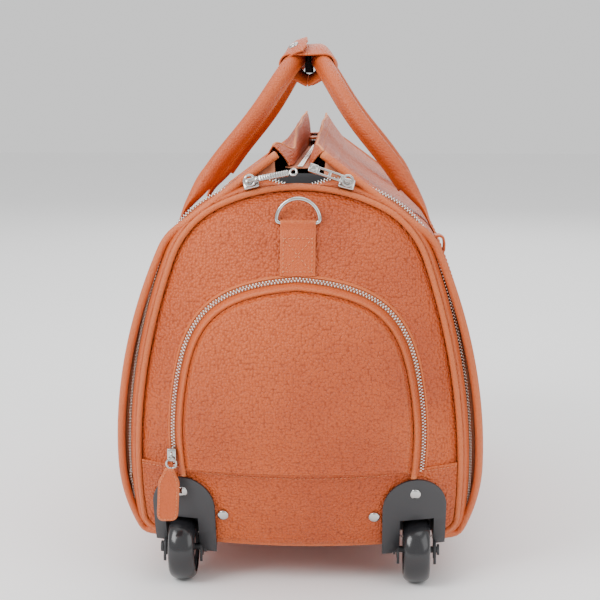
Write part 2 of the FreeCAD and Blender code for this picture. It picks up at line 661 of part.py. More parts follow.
def make_tow_handle():
    """Three-stage tow handle with its rear bezel, grip, release button and lock pins."""
    step = "(tube_wall + stage_gap)"
    node(hollow_tubes("outer_tubes", "0", "outer_front", "outer_rear"))
    node(hollow_tubes("middle_tubes", step, "outer_front + stage_step", "outer_rear + 2"))
    tubes = hollow_tubes("inner_stage", f"2 * {step}", "outer_front + 2 * stage_step",
                         "grip_back + 0.5")
    pin_y = "outer_front + 3 * stage_step"
    hole = rod("pin_holes", "pin_radius + 0.1", "2 * (tube_x + outer_half_w)",
               ("-tube_x - outer_half_w", pin_y, "tube_z"), "x")
    between = block("pin_hole_limit", ("-tube_x", "tube_x"), (-LONG, "0"), ("0", "2 * tube_z"))
    node(cut("inner_tubes", tubes, cut("pin_hole_ends", hole, between)))
    plate = block("bezel_plate", ("-bezel_half", "bezel_half"), ("0", LONG),
                  ("bezel_low", "bezel_high"))
    face = common("bezel_face", mirror("bezel_front", plate, "y"),
                  skin("bezel", "dome_radius + 2.2 + bezel_plate", "dome_radius + 2.2"),
                  front_half("bezel"))
    cup = block("bezel_cup", ("-recess_half", "recess_half"),
                ("grip_back - recess_depth - 3", "grip_back - 9"), ("recess_low", "recess_high"))
    solid = fuse("bezel_solid", mirror("bezel_rear", face, "y"), cup)
    hollow = block("bezel_hollow", ("-recess_half + 2", "recess_half - 2"),
                   ("grip_back - recess_depth", LONG), ("recess_low + 1.4", "recess_high - 2"))
    passages = [section("bezel_hole", "(outer_half_w - 0.8)", "(outer_half_h - 0.8)", LONG, "0",
                        side) for side in SIDES]
    node(cut("tow_bezel", solid, fuse("bezel_holes", hollow, *passages)))
    bar = block("grip_bar", ("-grip_half", "grip_half"), ("grip_back", "grip_tip"),
                ("grip_low", "grip_high"))
    rounded = doc.addObject("Part::Fillet", "grip_rounded")
    rounded.Base = bar
    doc.recompute()
    rounded.Edges = [(index + 1, 6, 6) for index in range(12)]
    well = block("button_well", ("-button_half - 0.2", "button_half + 0.2"),
                 ("grip_back + 5", "grip_tip + 1"), ("tube_z - 4.2", "tube_z + 4.2"))
    channel = block("rod_channel", ("-tube_x - 2.5", "tube_x + 2.5"),
                    ("grip_back + 5", "grip_back + 12"), ("tube_z - 2.5", "tube_z + 2.5"))
    hollows = [well, channel]
    for side, sign in SIDES.items():
        hollows.append(block(f"grip_bore_{side}",
                             (f"{sign} * tube_x - 2.5", f"{sign} * tube_x + 2.5"),
                             ("grip_back - 1", "grip_back + 12"),
                             ("tube_z - 2.5", "tube_z + 2.5")))
        hollows.append(section("grip_socket", f"(outer_half_w - 2 * {step})",
                               f"(outer_half_h - 2 * {step})", "grip_back + 0.5",
                               "grip_back - 1", side))
    node(cut("tow_grip", rounded, fuse("grip_hollows", *hollows)))
    button = block("button_cap", ("-button_half", "button_half"),
                   ("grip_back + 12", "grip_tip - 0.5"), ("tube_z - 4", "tube_z + 4"))
    bar = block("button_bar", ("-tube_x - 1.5", "tube_x + 1.5"),
                ("grip_back + 8.5", "grip_back + 11.9"), ("tube_z - 1.5", "tube_z + 1.5"))
    node(button)
    rods = [bar]
    for side, sign in SIDES.items():
        rods.append(block(f"push_rod_{side}", (f"{sign} * tube_x - 1.5", f"{sign} * tube_x + 1.5"),
                          ("outer_front + 3 * stage_step + 12", "grip_back + 9"),
                          ("tube_z - 1.5", "tube_z + 1.5")))
    node(fuse("push_rods", *rods))
    pair(rod("left_lock_pin", "pin_radius", "pin_length",
             (f"-tube_x - outer_half_w + 2 * {step} - 0.1", pin_y, "tube_z"), "x"), "lock_pin")


# ---------------------------------------------------------------- hardware and trim
def make_dee_ring():
    """Leather tab on the end panel and the dee ring it holds."""
    strap = block("tab_strap", ("-tab_half", "tab_half"), (-LONG, "0"), ("tab_low", "tab_high"))
    tab = end_layer("front_strap_tab", strap, "dome_radius + 0.2 + tab_thickness",
                    "dome_radius + 0.2")
    both_ends(tab, "strap_tab")
    y = on_dome("0", "ring_z", "dome_radius + 0.2 + tab_thickness / 2")
    wire = "ring_wire"
    bar = rod("ring_bar", wire, "2 * ring_half", ("-ring_half", y, "ring_z + 1"), "x")
    arch = add("Part::Torus", "ring_arch", at=("0", y, "ring_z + 3"),
               rotation=Rotation(Vector(1, 0, 0), 90), Radius1="ring_half", Radius2=wire)
    upper = block("ring_upper", (-LONG, LONG), (-LONG, "0"), ("ring_z + 3", 2 * LONG))
    bow = common("ring_bow", arch, upper)
    legs = [rod(f"ring_leg_{side}", wire, "3", (f"{sign} * ring_half", y, "ring_z"))
            for side, sign in SIDES.items()]
    both_ends(fuse("front_dee_ring", bar, bow, *legs), "dee_ring")


def zip_frame(sign):
    """Place on the crown zip: X along the zip, Y into the bag, square to the dome."""
    turn = math.radians(sign * size("slider_angle"))
    depth = math.sqrt(size("dome_radius") ** 2 - size("zip_circle") ** 2)
    out = Vector(size("zip_circle") * math.sin(turn), -depth, size("zip_circle") * math.cos(turn))
    along = Vector(math.cos(turn), 0, -math.sin(turn))
    base = out + Vector(0, size("front_ball_y"), size("dome_height"))
    inward = out.multiply(-1 / size("dome_radius"))
    return Placement(base, Rotation(along, inward, along.cross(inward), "XYZ"))


def make_sliders():
    """Sliders and pullers of the end zip, which part at the top of the wheeled end.

    Each is built upright in its own frame, and its group puts it on the dome.
    """
    arms = {"left": ("6", "arm_long"), "right": ("-arm_short", "-6")}
    tilts = {"left": 3.7, "right": 5.3}
    for side, sign in SIDES.items():
        name = f"front_{side}_slider"
        shape = block(name + "_block", ("-slider_half", "slider_half"), ("-7", "-1.6"), ("-5", "5"))
        lug = block(name + "_lug", ("-2", "2"), ("-10", "-6.9"), ("-2", "2"))
        slider = group(name, fuse(name + "_solid", shape, lug))
        slider.Placement = zip_frame(sign)
        node(slider)
        name = f"front_{side}_puller"
        disc = rod(name + "_ring", "slider_half", "2.4", ("0", "-12.7", "0"), "y")
        arm = block(name + "_arm", arms[side], ("-12.7", "-10.3"), ("-3.4", "3.4"))
        plate = cut(name + "_plate", fuse(name + "_solid", disc, arm),
                    rod(name + "_eye", "3.6", "8", ("0", "-16", "0"), "y"))
        puller = group(name, plate)
        tilt = Placement(Vector(), Rotation(Vector(0, 1, 0), tilts[side]))
        puller.Placement = zip_frame(sign).multiply(tilt)
        node(puller)


def make_pocket_slider():
    """Slider at the low left end of the pocket zip and its hanging leather puller."""
    x = "(-pocket_half - 5.5)"
    z = "(band_top + 9)"
    y = on_dome(x, z, "dome_radius + 0.4 + tape + chain_rise")
    node(block("pocket_slider", (f"{x} - 4.5", f"{x} + 4.5"), (f"{y} - 6", f"{y} - 2.4"),
               (f"{z} - 6", f"{z} + 6")))
    depth = (f"{y} - 9.6", f"{y} - 6.4")
    neck = block("puller_neck", (f"{x} - 3.5", f"{x} + 3.5"), depth, ("band_top - 2", f"{z} - 2"))
    knuckle = rod("puller_knuckle", "1.6", "7", (f"{x} - 3.5", f"{y} - 8", f"{z} - 2"), "x")
    blade = block("puller_blade", (f"{x} - 12.5", f"{x} + 4.5"), depth,
                  ("band_top - 53", "band_top - 1"))
    node(fuse("pocket_puller", neck, knuckle, blade))


def make_top():
    """Standing plackets along the roof with the top zip in the valley between them."""
    clear = ball("placket_ball", "dome_radius + 14")
    reach = mirror("placket_ball_rear", clear, "y")
    low = block("placket_block", ("-roof_slot_half + 0.3", "-roof_slot_half + 3.5"),
                ("placket_front", "placket_rear"), ("top_zip_z + tape + 0.2", "placket_high"))
    leaning = common("left_placket", low, clear, reach)
    pair(leaning, "placket")
    tape = block("top_tape", ("-roof_slot_half + 0.3", "roof_slot_half - 0.3"),
                 ("placket_front", "placket_rear - 6"), ("top_zip_z", "top_zip_z + tape"))
    chain = block("top_chain", ("-chain_width / 2", "chain_width / 2"),
                  ("placket_front", "placket_rear - 8"),
                  ("top_zip_z", "top_zip_z + tape + chain_rise"))
    node(fuse("top_zip", tape, chain))
    slider_y = "(placket_rear - 16)"
    base = "(top_zip_z + tape + chain_rise + 0.6)"
    node(block("top_slider", ("-6", "6"), (f"{slider_y} - 7", f"{slider_y} + 7"),
               (base, f"{base} + 5")))
    strip = block("top_pull_strip", ("-6", "6"), (f"{slider_y} - 44", f"{slider_y} - 1"),
                  (f"{base} + 5.5", f"{base} + 8.3"))
    knuckle = rod("top_pull_knuckle", "1.4", "12", ("-6", f"{slider_y} - 1", f"{base} + 6.9"), "x")
    node(fuse("top_puller", strip, knuckle))


def make_handles():
    """Two rolled carry handles that meet at the top, with the two halves of the wrap."""
    lean = math.degrees(math.atan2(size("handle_foot_x") - size("handle_top_x"),
                                   size("handle_top_z") - size("handle_foot_z")))
    rise = math.hypot(size("handle_foot_x") - size("handle_top_x"),
                      size("handle_top_z") - size("handle_foot_z"))
    half, bend = size("handle_half"), size("handle_bend")
    leg, flat = rise - bend, half - bend
    turn = bend * math.sqrt(0.5)
    corner = (flat + turn, leg + turn)
    points = [Vector(0, -half, 0), Vector(0, -half, leg), Vector(0, -corner[0], corner[1]),
              Vector(0, -flat, rise), Vector(0, flat, rise), Vector(0, corner[0], corner[1]),
              Vector(0, half, leg), Vector(0, half, 0)]
    spine = Part.Wire([
        Part.LineSegment(points[0], points[1]).toShape(),
        Part.Arc(points[1], points[2], points[3]).toShape(),
        Part.LineSegment(points[3], points[4]).toShape(),
        Part.Arc(points[4], points[5], points[6]).toShape(),
        Part.LineSegment(points[6], points[7]).toShape(),
    ])
    path = doc.addObject("Part::Feature", "handle_path")
    path.Shape = spine
    section_ring = add("Part::Circle", "handle_section", Radius="grip_rod")
    section_ring.Placement = Placement(points[0], Rotation())
    sweep = doc.addObject("Part::Sweep", "left_handle")
    sweep.Sections = [section_ring]
    sweep.Spine = (path, [f"Edge{index + 1}" for index in range(5)])
    sweep.Solid = True
    sweep.Placement = Placement(Vector(-size("handle_foot_x"), 0, size("handle_foot_z")),
                                Rotation(Vector(0, 1, 0), lean))
    pair(sweep, "handle")
    shell = "grip_rod + 0.05 + wrap_thickness"
    top = ("-wrap_half", "handle_top_z")
    band = cut("left_wrap", rod("wrap_out", shell, "2 * wrap_half", ("-handle_top_x", *top), "y"),
               rod("wrap_in", "grip_rod + 0.05", "2 * wrap_half + 2",
                   ("-handle_top_x", "-wrap_half - 1", "handle_top_z"), "y"))
    pair(band, "wrap")
    flap_z = f"handle_top_z + {shell}"
    node(block("wrap_flap", ("-handle_top_x - 2", "-0.5"), ("-22", "22"),
               (f"{flap_z} + 0.4", f"{flap_z} + 2.8")))
    node(rod("flap_snap", "5", "1.2", ("-handle_top_x + 6", "0", f"{flap_z} + 2.9")))
    patches = []
    for end in (-1, 1):
        name = f"base_patch_{end + 1}"
        patches.append(block(name, ("-handle_foot_x - 40", "-handle_foot_x + 16"),
                             (f"{end} * handle_half - 20", f"{end} * handle_half + 20"),
                             ("240", "handle_foot_z")))
    wall = ring("patch", body, "2.4", "0.2")
    clipped = [common(f"patch_{index}", patch, wall) for index, patch in enumerate(patches)]
    left = group("left_patches", *clipped)
    node(group("handle_patches", left, mirror("right_patches", left, "x")))


def make_side_details():
    """Zip of the left side pocket and the leather loop on the right side."""
    wall = ring("side_zip", body, "1.6", "0.2")
    strip = block("side_zip_block", ("-110", "-80"), ("-side_zip_half", "side_zip_half"),
                  ("side_zip_z - 8", "side_zip_z + 8"))
    node(common("side_pocket_zip", strip, wall))
    loop_out = block("loop_out", ("118", "136"), ("-206", "-190"), ("300", "318"))
    loop_in = block("loop_in", ("110", "132.5"), ("-208", "-188"), ("303.5", "314.5"))
    shell = extrude("loop_wall", offset("loop_edge", body, "0.2"))
    node(cut("side_loop", cut("loop_solid", loop_out, loop_in), shell))


make_body()
make_ends()
make_pocket()
make_wheels()
make_housings()
make_fixings()
make_base()
make_tow_handle()
make_dee_ring()
make_sliders()
make_pocket_slider()
make_top()
make_handles()
make_side_details()
doc.recompute()

failed = [obj.Name for obj in doc.Objects if {"Invalid", "Error"} & set(obj.State)]
assert not failed, f"failed objects: {failed}"
os.makedirs("parts", exist_ok=True)
for obj in nodes:
    shape = obj.Shape
    assert not shape.isNull() and shape.isValid(), f"bad shape: {obj.Label}"
    assert shape.Solids, f"no solid: {obj.Label}"
    shape.exportStep(f"parts/{obj.Label}.step")
    print(f"{obj.Label:24s} {len(shape.Solids)} solids {shape.Volume / 1000:9.2f} cm3")
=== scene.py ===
"""Rolling leather holdall: the visible model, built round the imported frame. Metres."""

import logging
import math
from dataclasses import dataclass, field
from enum import Enum
from typing import Callable, Sequence

import bmesh
import bpy
import numpy as np
from mathutils import Matrix, Vector


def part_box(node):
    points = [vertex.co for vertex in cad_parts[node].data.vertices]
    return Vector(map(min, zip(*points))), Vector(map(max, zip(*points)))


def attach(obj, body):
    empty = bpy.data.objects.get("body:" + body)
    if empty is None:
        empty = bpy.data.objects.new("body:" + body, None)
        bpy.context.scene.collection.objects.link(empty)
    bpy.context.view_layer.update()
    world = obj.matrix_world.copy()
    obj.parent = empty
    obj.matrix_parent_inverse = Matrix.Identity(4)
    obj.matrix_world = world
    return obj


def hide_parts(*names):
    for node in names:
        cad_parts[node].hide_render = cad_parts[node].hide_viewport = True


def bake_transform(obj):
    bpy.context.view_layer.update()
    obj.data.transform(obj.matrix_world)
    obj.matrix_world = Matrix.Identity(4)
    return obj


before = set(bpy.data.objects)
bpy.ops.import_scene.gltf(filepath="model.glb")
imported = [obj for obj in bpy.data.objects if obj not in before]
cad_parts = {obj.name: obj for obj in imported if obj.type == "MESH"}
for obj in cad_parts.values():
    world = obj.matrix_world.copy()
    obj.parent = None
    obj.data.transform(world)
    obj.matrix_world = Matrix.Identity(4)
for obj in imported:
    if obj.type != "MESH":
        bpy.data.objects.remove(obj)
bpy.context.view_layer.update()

LOG = logging.getLogger("holdall")
MM = 0.001
WHEEL_X, WHEEL_Y, WHEEL_Z = 0.107, -0.233, 0.030
WELL_HALF, WELL_BACK, WELL_TOP = 22 * MM, -0.1952, 0.0658
Points = np.ndarray


class Side(Enum):
    """The two sides of the bag, seen from the wheeled end."""

    LEFT = -1
    RIGHT = 1


# ------------------------------------------------------------------ geometry helpers
def unit(vectors: Points) -> Points:
    """Vectors scaled to length one.

    Args:
        vectors: rows of components.
    Returns:
        The same rows, each of length one.
    """
    length = np.linalg.norm(vectors, axis=-1, keepdims=True)
    return vectors / np.maximum(length, 1e-12)


def resample(path: Points, count: int, closed: bool = False,
             carried: Points | None = None) -> Points:
    """Points evenly spaced along a path.

    Args:
        path: rows of coordinates.
        count: how many points to give.
        closed: whether the path joins its own start.
        carried: rows to give in place of the path's own, for an open path.
    Returns:
        count rows; a closed path doesn't repeat its first point.
    """
    line = np.vstack([path, path[:1]]) if closed else path
    values = line if carried is None else carried
    steps = np.linalg.norm(np.diff(line, axis=0), axis=1)
    reach = np.concatenate([[0], np.cumsum(steps)])
    wanted = np.linspace(0, reach[-1], count + 1 if closed else count)
    if closed:
        wanted = wanted[:-1]
    return np.column_stack([np.interp(wanted, reach, column) for column in values.T])


def eased(line: Points, rounds: int, weight: float = 2.0, closed: bool = False) -> Points:
    """A line smoothed by averaging each point with its neighbours.

    Args:
        line: rows of coordinates.
        rounds: how many times to average.
        weight: of the point itself against one for each neighbour.
        closed: whether the line joins its own start; an open line keeps its ends.
    Returns:
        The smoothed rows.
    """
    line = line.copy()
    for _ in range(rounds):
        if closed:
            line = (np.roll(line, 1, 0) + weight * line + np.roll(line, -1, 0)) / (weight + 2)
        else:
            line[1:-1] = (line[:-2] + weight * line[1:-1] + line[2:]) / (weight + 2)
    return line


def at_depth(flat: Points, y: float | Points = 0.0) -> Points:
    """Rows of (x, y, z) from rows of (x, z)."""
    return np.column_stack([flat[:, 0], np.broadcast_to(y, len(flat)), flat[:, 1]])


def smooth_step(low: float, high: float, value: Points) -> Points:
    """A soft ramp from 0 at low to 1 at high."""
    t = np.clip((np.asarray(value, float) - low) / (high - low), 0, 1)
    return t * t * (3 - 2 * t)


def ripple(points: Points, seed: float, size: float) -> Points:
    """Gentle, repeatable unevenness for soft leather.

    Args:
        points: rows of x, y, z.
        seed: shifts the pattern.
        size: length of one wave.
    Returns:
        One value from about -1 to 1 for each row.
    """
    x, y, z = (points[..., i] / size for i in range(3))
    waves = (np.sin(2.1 * x + 1.3 * z + seed) * np.cos(1.7 * y - 0.6 * x + 2 * seed)
             + 0.6 * np.sin(3.3 * z - 2.2 * y + 3 * seed)
             + 0.4 * np.cos(4.1 * x + 3.7 * y - 2.9 * z + seed))
    return waves / 2.0


def lay_grid(name: str, grid: Points, close_cols: bool = False, close_rows: bool = False,
             caps: bool = False) -> bpy.types.Object:
    """A flat grid, subdivided, whose vertices are then moved through a grid of points.

    Args:
        name: the piece's name.
        grid: rows by columns by 3.
        close_cols: joins the last column to the first.
        close_rows: joins the last row to the first.
        caps: closes the open ends.
    Returns:
        The new piece, smooth shaded, with its doubles merged.
    """
    if close_cols:
        grid = np.concatenate([grid, grid[:, :1]], axis=1)
    if close_rows:
        grid = np.concatenate([grid, grid[:1]], axis=0)
    rows, cols = grid.shape[:2]
    bpy.ops.object.select_all(action="DESELECT")
    bpy.ops.mesh.primitive_grid_add(x_subdivisions=cols - 1, y_subdivisions=rows - 1, size=1)
    piece = bpy.context.object
    piece.name = piece.data.name = name
    piece.data.vertices.foreach_set("co", np.ascontiguousarray(grid, dtype=np.float32).ravel())
    bpy.ops.object.mode_set(mode="EDIT")
    bpy.ops.mesh.select_all(action="SELECT")
    bpy.ops.mesh.remove_doubles(threshold=1e-6)
    if caps:
        bpy.ops.mesh.fill_holes(sides=0)
    if close_cols and (caps or close_rows):
        bpy.ops.mesh.normals_make_consistent(inside=False)
    bpy.ops.object.mode_set(mode="OBJECT")
    bpy.ops.object.shade_smooth()
    return piece


def activate(piece: bpy.types.Object) -> None:
    """Make a piece the only selected and active one.

    Args:
        piece: any object of the scene.
    """
    bpy.ops.object.select_all(action="DESELECT")
    piece.select_set(True)
    bpy.context.view_layer.objects.active = piece


def apply_all(piece: bpy.types.Object) -> bpy.types.Object:
    """Apply every modifier of a piece, in order.

    Args:
        piece: a mesh object.
    Returns:
        The same piece.
    """
    activate(piece)
    for modifier in list(piece.modifiers):
        bpy.ops.object.modifier_apply(modifier=modifier.name)
    return piece


def face_away(piece: bpy.types.Object, core: Callable[[Points], Points]) -> bpy.types.Object:
    """Turn an open skin so that its faces point away from the bag's inside.

    Args:
        piece: the skin.
        core: gives the inner point that each face centre faces away from.
    Returns:
        The same piece.
    """
    count = len(piece.data.polygons)
    centres, normals, areas = np.empty(count * 3), np.empty(count * 3), np.empty(count)
    piece.data.polygons.foreach_get("center", centres)
    piece.data.polygons.foreach_get("normal", normals)
    piece.data.polygons.foreach_get("area", areas)
    centres, normals = centres.reshape(-1, 3), normals.reshape(-1, 3)
    if ((normals * (centres - core(centres))).sum(1) * areas).sum() < 0:
        activate(piece)
        bpy.ops.object.mode_set(mode="EDIT")
        bpy.ops.mesh.select_all(action="SELECT")
        bpy.ops.mesh.flip_normals()
        bpy.ops.object.mode_set(mode="OBJECT")
    return piece


def thicken(piece: bpy.types.Object, thickness: float, bevel: float = 0.0,
            subdivide: int = 0) -> bpy.types.Object:
    """Give a skin its thickness, inwards, and round its rim.

    Args:
        piece: an open surface whose faces point outwards.
        thickness: in metres.
        bevel: radius of the rounded rim.
        subdivide: levels of subdivision.
    Returns:
        The same piece.
    """
    solid = piece.modifiers.new("thickness", "SOLIDIFY")
    solid.thickness = thickness
    solid.offset = -1
    if bevel:
        rim = piece.modifiers.new("rim", "BEVEL")
        rim.width = bevel
        rim.segments = 3
        rim.limit_method = "ANGLE"
        rim.angle_limit = math.radians(50)
    if subdivide:
        fine = piece.modifiers.new("fine", "SUBSURF")
        fine.levels = fine.render_levels = subdivide
    return apply_all(piece)


def path_frames(path: Points, closed: bool, up: Points | None = None) -> tuple[Points, Points]:
    """Side and up directions carried along a path.

    Args:
        path: rows of x, y, z.
        closed: whether the path joins its own start.
        up: the wanted up direction of each point, or None to carry one along.
    Returns:
        (side, up), each one row for each point.
    """
    if closed:
        tangent = unit(np.roll(path, -1, 0) - np.roll(path, 1, 0))
    else:
        tangent = unit(np.gradient(path, axis=0))
    if up is None:
        carried = np.zeros_like(path)
        start = np.array([0.0, 0.0, 1.0]) if abs(tangent[0][2]) < 0.9 else np.array([1.0, 0, 0])
        last = start
        for i, t in enumerate(tangent):
            last = last - t * (last @ t)
            last = last / np.linalg.norm(last)
            carried[i] = last
        up = carried
    side = unit(np.cross(tangent, up))
    return side, unit(np.cross(side, tangent))


def sweep(name: str, path: Points, profile: Callable[[int], Points] | Points,
          closed: bool = False, up: Points | None = None) -> bpy.types.Object:
    """A profile carried along a path.

    Args:
        name: the piece's name.
        path: rows of x, y, z.
        profile: rows of (side, up), or a function of the row's index that gives them.
        closed: whether the path joins its own start.
        up: the wanted up direction of each point.
    Returns:
        The new piece, an open path's ends closed.
    """
    side, rise = path_frames(path, closed, up)
    rings = []
    for i, point in enumerate(path):
        ring = profile(i) if callable(profile) else profile
        rings.append(point + ring[:, :1] * side[i] + ring[:, 1:2] * rise[i])
    return lay_grid(name, np.array(rings), True, closed, not closed)


def circle(radius: float, sides: int = 16, flat: float = 1.0) -> Points:
    """A ring of (side, up) pairs; flat squeezes its height."""
    turn = np.linspace(0, 2 * math.pi, sides, endpoint=False)
    return np.column_stack([radius * np.cos(turn), radius * flat * np.sin(turn)])


def tube(name: str, path: Points, radius: float, closed: bool = False,
         sides: int = 16) -> bpy.types.Object:
    """A round tube along a path."""
    return sweep(name, path, circle(radius, sides), closed)


def scatter(name: str, template: bpy.types.Object, places: Sequence[Matrix]) -> bpy.types.Object:
    """Copies of a template at many places, as one piece; the template is removed.

    Args:
        name: the piece's name.
        template: a small object at the origin.
        places: where each copy goes.
    Returns:
        The new piece.
    """
    base = np.array([v.co for v in template.data.vertices])
    polygons = [tuple(p.vertices) for p in template.data.polygons]
    verts = [base @ np.array(place.to_3x3()).T + np.array(place.translation) for place in places]
    faces = [tuple(copy * len(base) + i for i in polygon)
             for copy in range(len(places)) for polygon in polygons]
    template.name = template.data.name = name
    template.data.clear_geometry()
    template.data.from_pydata(np.vstack(verts).tolist(), [], faces)
    template.data.shade_smooth()
    return template


def place_at(point: Points, along: Points, out: Points) -> Matrix:
    """A place whose X runs along a path and whose Z points out of the surface.

    Args:
        point: where the place is.
        along: the path's direction.
        out: the outward direction.
    Returns:
        The place.
    """
    x = Vector(along).normalized()
    z = (Vector(out) - x * Vector(out).dot(x)).normalized()
    y = z.cross(x)
    place = Matrix((x, y, z)).transposed().to_4x4()
    place.translation = Vector(point)
    return place


def capsule(length: float, radius: float) -> bpy.types.Object:
    """A stitch: a short rounded thread along X.

    Args:
        length: from tip to tip.
        radius: of the thread.
    Returns:
        The new piece.
    """
    bpy.ops.object.select_all(action="DESELECT")
    bpy.ops.mesh.primitive_uv_sphere_add(segments=6, ring_count=4, radius=radius,
                                         rotation=(0, math.pi / 2, 0))
    piece = bpy.context.object
    bpy.ops.object.transform_apply(location=True, rotation=True, scale=True)
    for vertex in piece.data.vertices:
        vertex.co.x *= length / (2 * radius)
    return piece


def stitches(name: str, path: Points, out: Points, pitch: float = 3.6 * MM,
             length: float = 2.7 * MM, radius: float = 0.42 * MM) -> bpy.types.Object:
    """A row of stitches along a path.

    Args:
        name: the piece's name.
        path: rows of x, y, z on the leather.
        out: the outward direction at each row.
        pitch: from one stitch to the next.
        length: of one stitch.
        radius: of the thread.
    Returns:
        The new piece.
    """
    both = np.hstack([path, out])
    total = np.linalg.norm(np.diff(path, axis=0), axis=1).sum()
    count = max(2, int(total / pitch))
    rows = resample(path, count, carried=both)
    points, normals = rows[:, :3], unit(rows[:, 3:])
    along = unit(np.gradient(points, axis=0))
    places = [place_at(p, a, n) for p, a, n in zip(points, along, normals)]
    return scatter(name, capsule(length, radius), places)


# ------------------------------------------------------------------ the bag's form
@dataclass(frozen=True)
class Arc:
    """An arc of an outline, its angles in degrees from +X, drawn from start to end."""

    x: float
    z: float
    radius: float
    start: float
    end: float

    def points(self, count: int = 40) -> Points:
        """The arc's points from start to end.

        Args:
            count: how many points to give.
        Returns:
            Rows of (x, z).
        """
        turn = np.radians(np.linspace(self.start, self.end, count))
        return np.column_stack([self.x + self.radius * np.cos(turn),
                                self.z + self.radius * np.sin(turn)])


@dataclass(frozen=True)
class Form:
    """The bag's driving shape: two ball-shaped ends and the outlines cut from them."""

    ball: float = 0.370
    height: float = 0.201
    front: float = 0.084
    middle: float = 0.006

    def depth(self, x: Points, z: Points, lift: float | Points = 0.0) -> Points:
        """Y of the wheeled end's skin at x and z, lifted outwards."""
        inside = (self.ball + lift) ** 2 - np.square(x) - np.square(z - self.height)
        return self.front - np.sqrt(np.maximum(inside, 1e-6))

    def on_end(self, flat: Points, lift: float | Points = 0.0) -> Points:
        """Points of the wheeled end from rows of (x, z)."""
        return np.column_stack([flat[:, 0], self.depth(flat[:, 0], flat[:, 1], lift), flat[:, 1]])

    def out(self, points: Points) -> Points:
        """Outward directions of the wheeled end at points."""
        return unit(points - np.array([0, self.front, self.height]))

    def far(self, points: Points) -> Points:
        """The mirror image of points at the tow-handle end."""
        return points * [1, -1, 1] + [0, 2 * self.middle, 0]

    def panel(self, count: int) -> Points:
        """Outline of the end panel.

        Args:
            count: how many points to give.
        Returns:
            Rows of (x, z), clockwise from the crown.
        """
        half = np.vstack([
            Arc(0, 0.201, 0.160, 90, 64).points(),
            Arc(0.03595, 0.27470, 0.078, 64, 18.8).points(),
            Arc(-0.4771, 0.1000, 0.620, 18.8, -3.74).points(60),
            Arc(0.1276, 0.0605, 0.014, -3.74, -90).points(12),
        ])
        return self.both(half, count)

    def body(self, count: int) -> Points:
        """Outline of the wrap.

        Args:
            count: how many points to give.
        Returns:
            Rows of (x, z), clockwise from the middle of the flat ridge.
        """
        half = np.vstack([
            [[0.0215, 0.3930]],
            Arc(0.0829, 0.2911, 0.045, 53.1, 23.2).points(),
            Arc(-0.340, 0.110, 0.505, 23.2, 0).points(60),
            Arc(0.005, 0.110, 0.160, 0, -24.6).points(20),
            Arc(0.1414, 0.0475, 0.010, -24.6, -90).points(12),
        ])
        return self.both(half, count)

    def pocket(self, count: int) -> Points:
        """Arch of the pocket.

        Args:
            count: how many points to give.
        Returns:
            Rows of (x, z) from the left foot over the crown to the right foot.
        """
        half = np.array([[0, 276.5], [18, 275.4], [33, 272.6], [54.4, 266.4], [68.5, 258.8],
                         [78.5, 249.2], [86.4, 237.0], [92.9, 219.0], [97.4, 195.7],
                         [101, 170.3], [103, 144.4], [101.5, 128.0], [100, 106.0]]) * MM
        half = eased(resample(half, 200), 400)
        left = half[::-1] * [-1, 1]
        return resample(np.vstack([left[:-1], half]), count)

    @staticmethod
    def both(half: Points, count: int) -> Points:
        """A closed outline from its right half, clockwise from the top."""
        left = half[::-1] * [-1, 1]
        return resample(np.vstack([half, left]), count, closed=True)


FORM = Form()


def shifted(outline: Points, distance: float | Points, closed: bool = True) -> Points:
    """An outline moved outwards along its normals.

    Args:
        outline: rows of (x, z), clockwise.
        distance: how far, for all rows or for each.
        closed: whether the outline joins its own start.
    Returns:
        The moved rows.
    """
    tangent = unit(np.roll(outline, -1, 0) - np.roll(outline, 1, 0) if closed
                   else np.gradient(outline, axis=0))
    normal = np.column_stack([-tangent[:, 1], tangent[:, 0]])
    return outline + normal * np.reshape(distance, (-1, 1) if np.ndim(distance) else ())


# ------------------------------------------------------------------ finishes
def feed(tree: bpy.types.NodeTree, target: bpy.types.NodeSocket, value: object) -> None:
    """Give an input a value, or join another socket to it.

    Args:
        tree: the node tree.
        target: the input socket.
        value: a socket, a number or a colour.
    """
    if isinstance(value, bpy.types.NodeSocket):
        tree.links.new(value, target)
    else:
        target.default_value = value


def add_node(tree: bpy.types.NodeTree, kind: str, inputs: dict[str | int, object] | None = None,
             **values: object) -> bpy.types.Node:
    """Add a node, set its properties, then feed its inputs.

    Args:
        tree: the node tree.
        kind: the node's type.
        inputs: socket, number or colour of each input, by name or index.
        **values: the node's own properties.
    Returns:
        The new node.
    """
    node = tree.nodes.new(kind)
    for name, value in values.items():
        setattr(node, name, value)
    for key, value in (inputs or {}).items():
        feed(tree, node.inputs[key], value)
    return node


def math_node(tree: bpy.types.NodeTree, operation: str, first: object,
              second: object = 0.0) -> bpy.types.NodeSocket:
    """The output of a maths node fed by sockets or numbers."""
    return add_node(tree, "ShaderNodeMath", {0: first, 1: second}, operation=operation).outputs[0]


def noise(tree: bpy.types.NodeTree, place: bpy.types.NodeSocket, scale: object,
          detail: float = 2.0) -> bpy.types.Node:
    """A noise texture at a place."""
    return add_node(tree, "ShaderNodeTexNoise", {"Vector": place, "Scale": scale,
                                                 "Detail": detail})


def spread_out(tree: bpy.types.NodeTree, value: bpy.types.NodeSocket, low: float,
               high: float) -> bpy.types.NodeSocket:
    """A value stretched so that low becomes 0 and high becomes 1."""
    return add_node(tree, "ShaderNodeMapRange",
                    {"Value": value, "From Min": low, "From Max": high}).outputs[0]


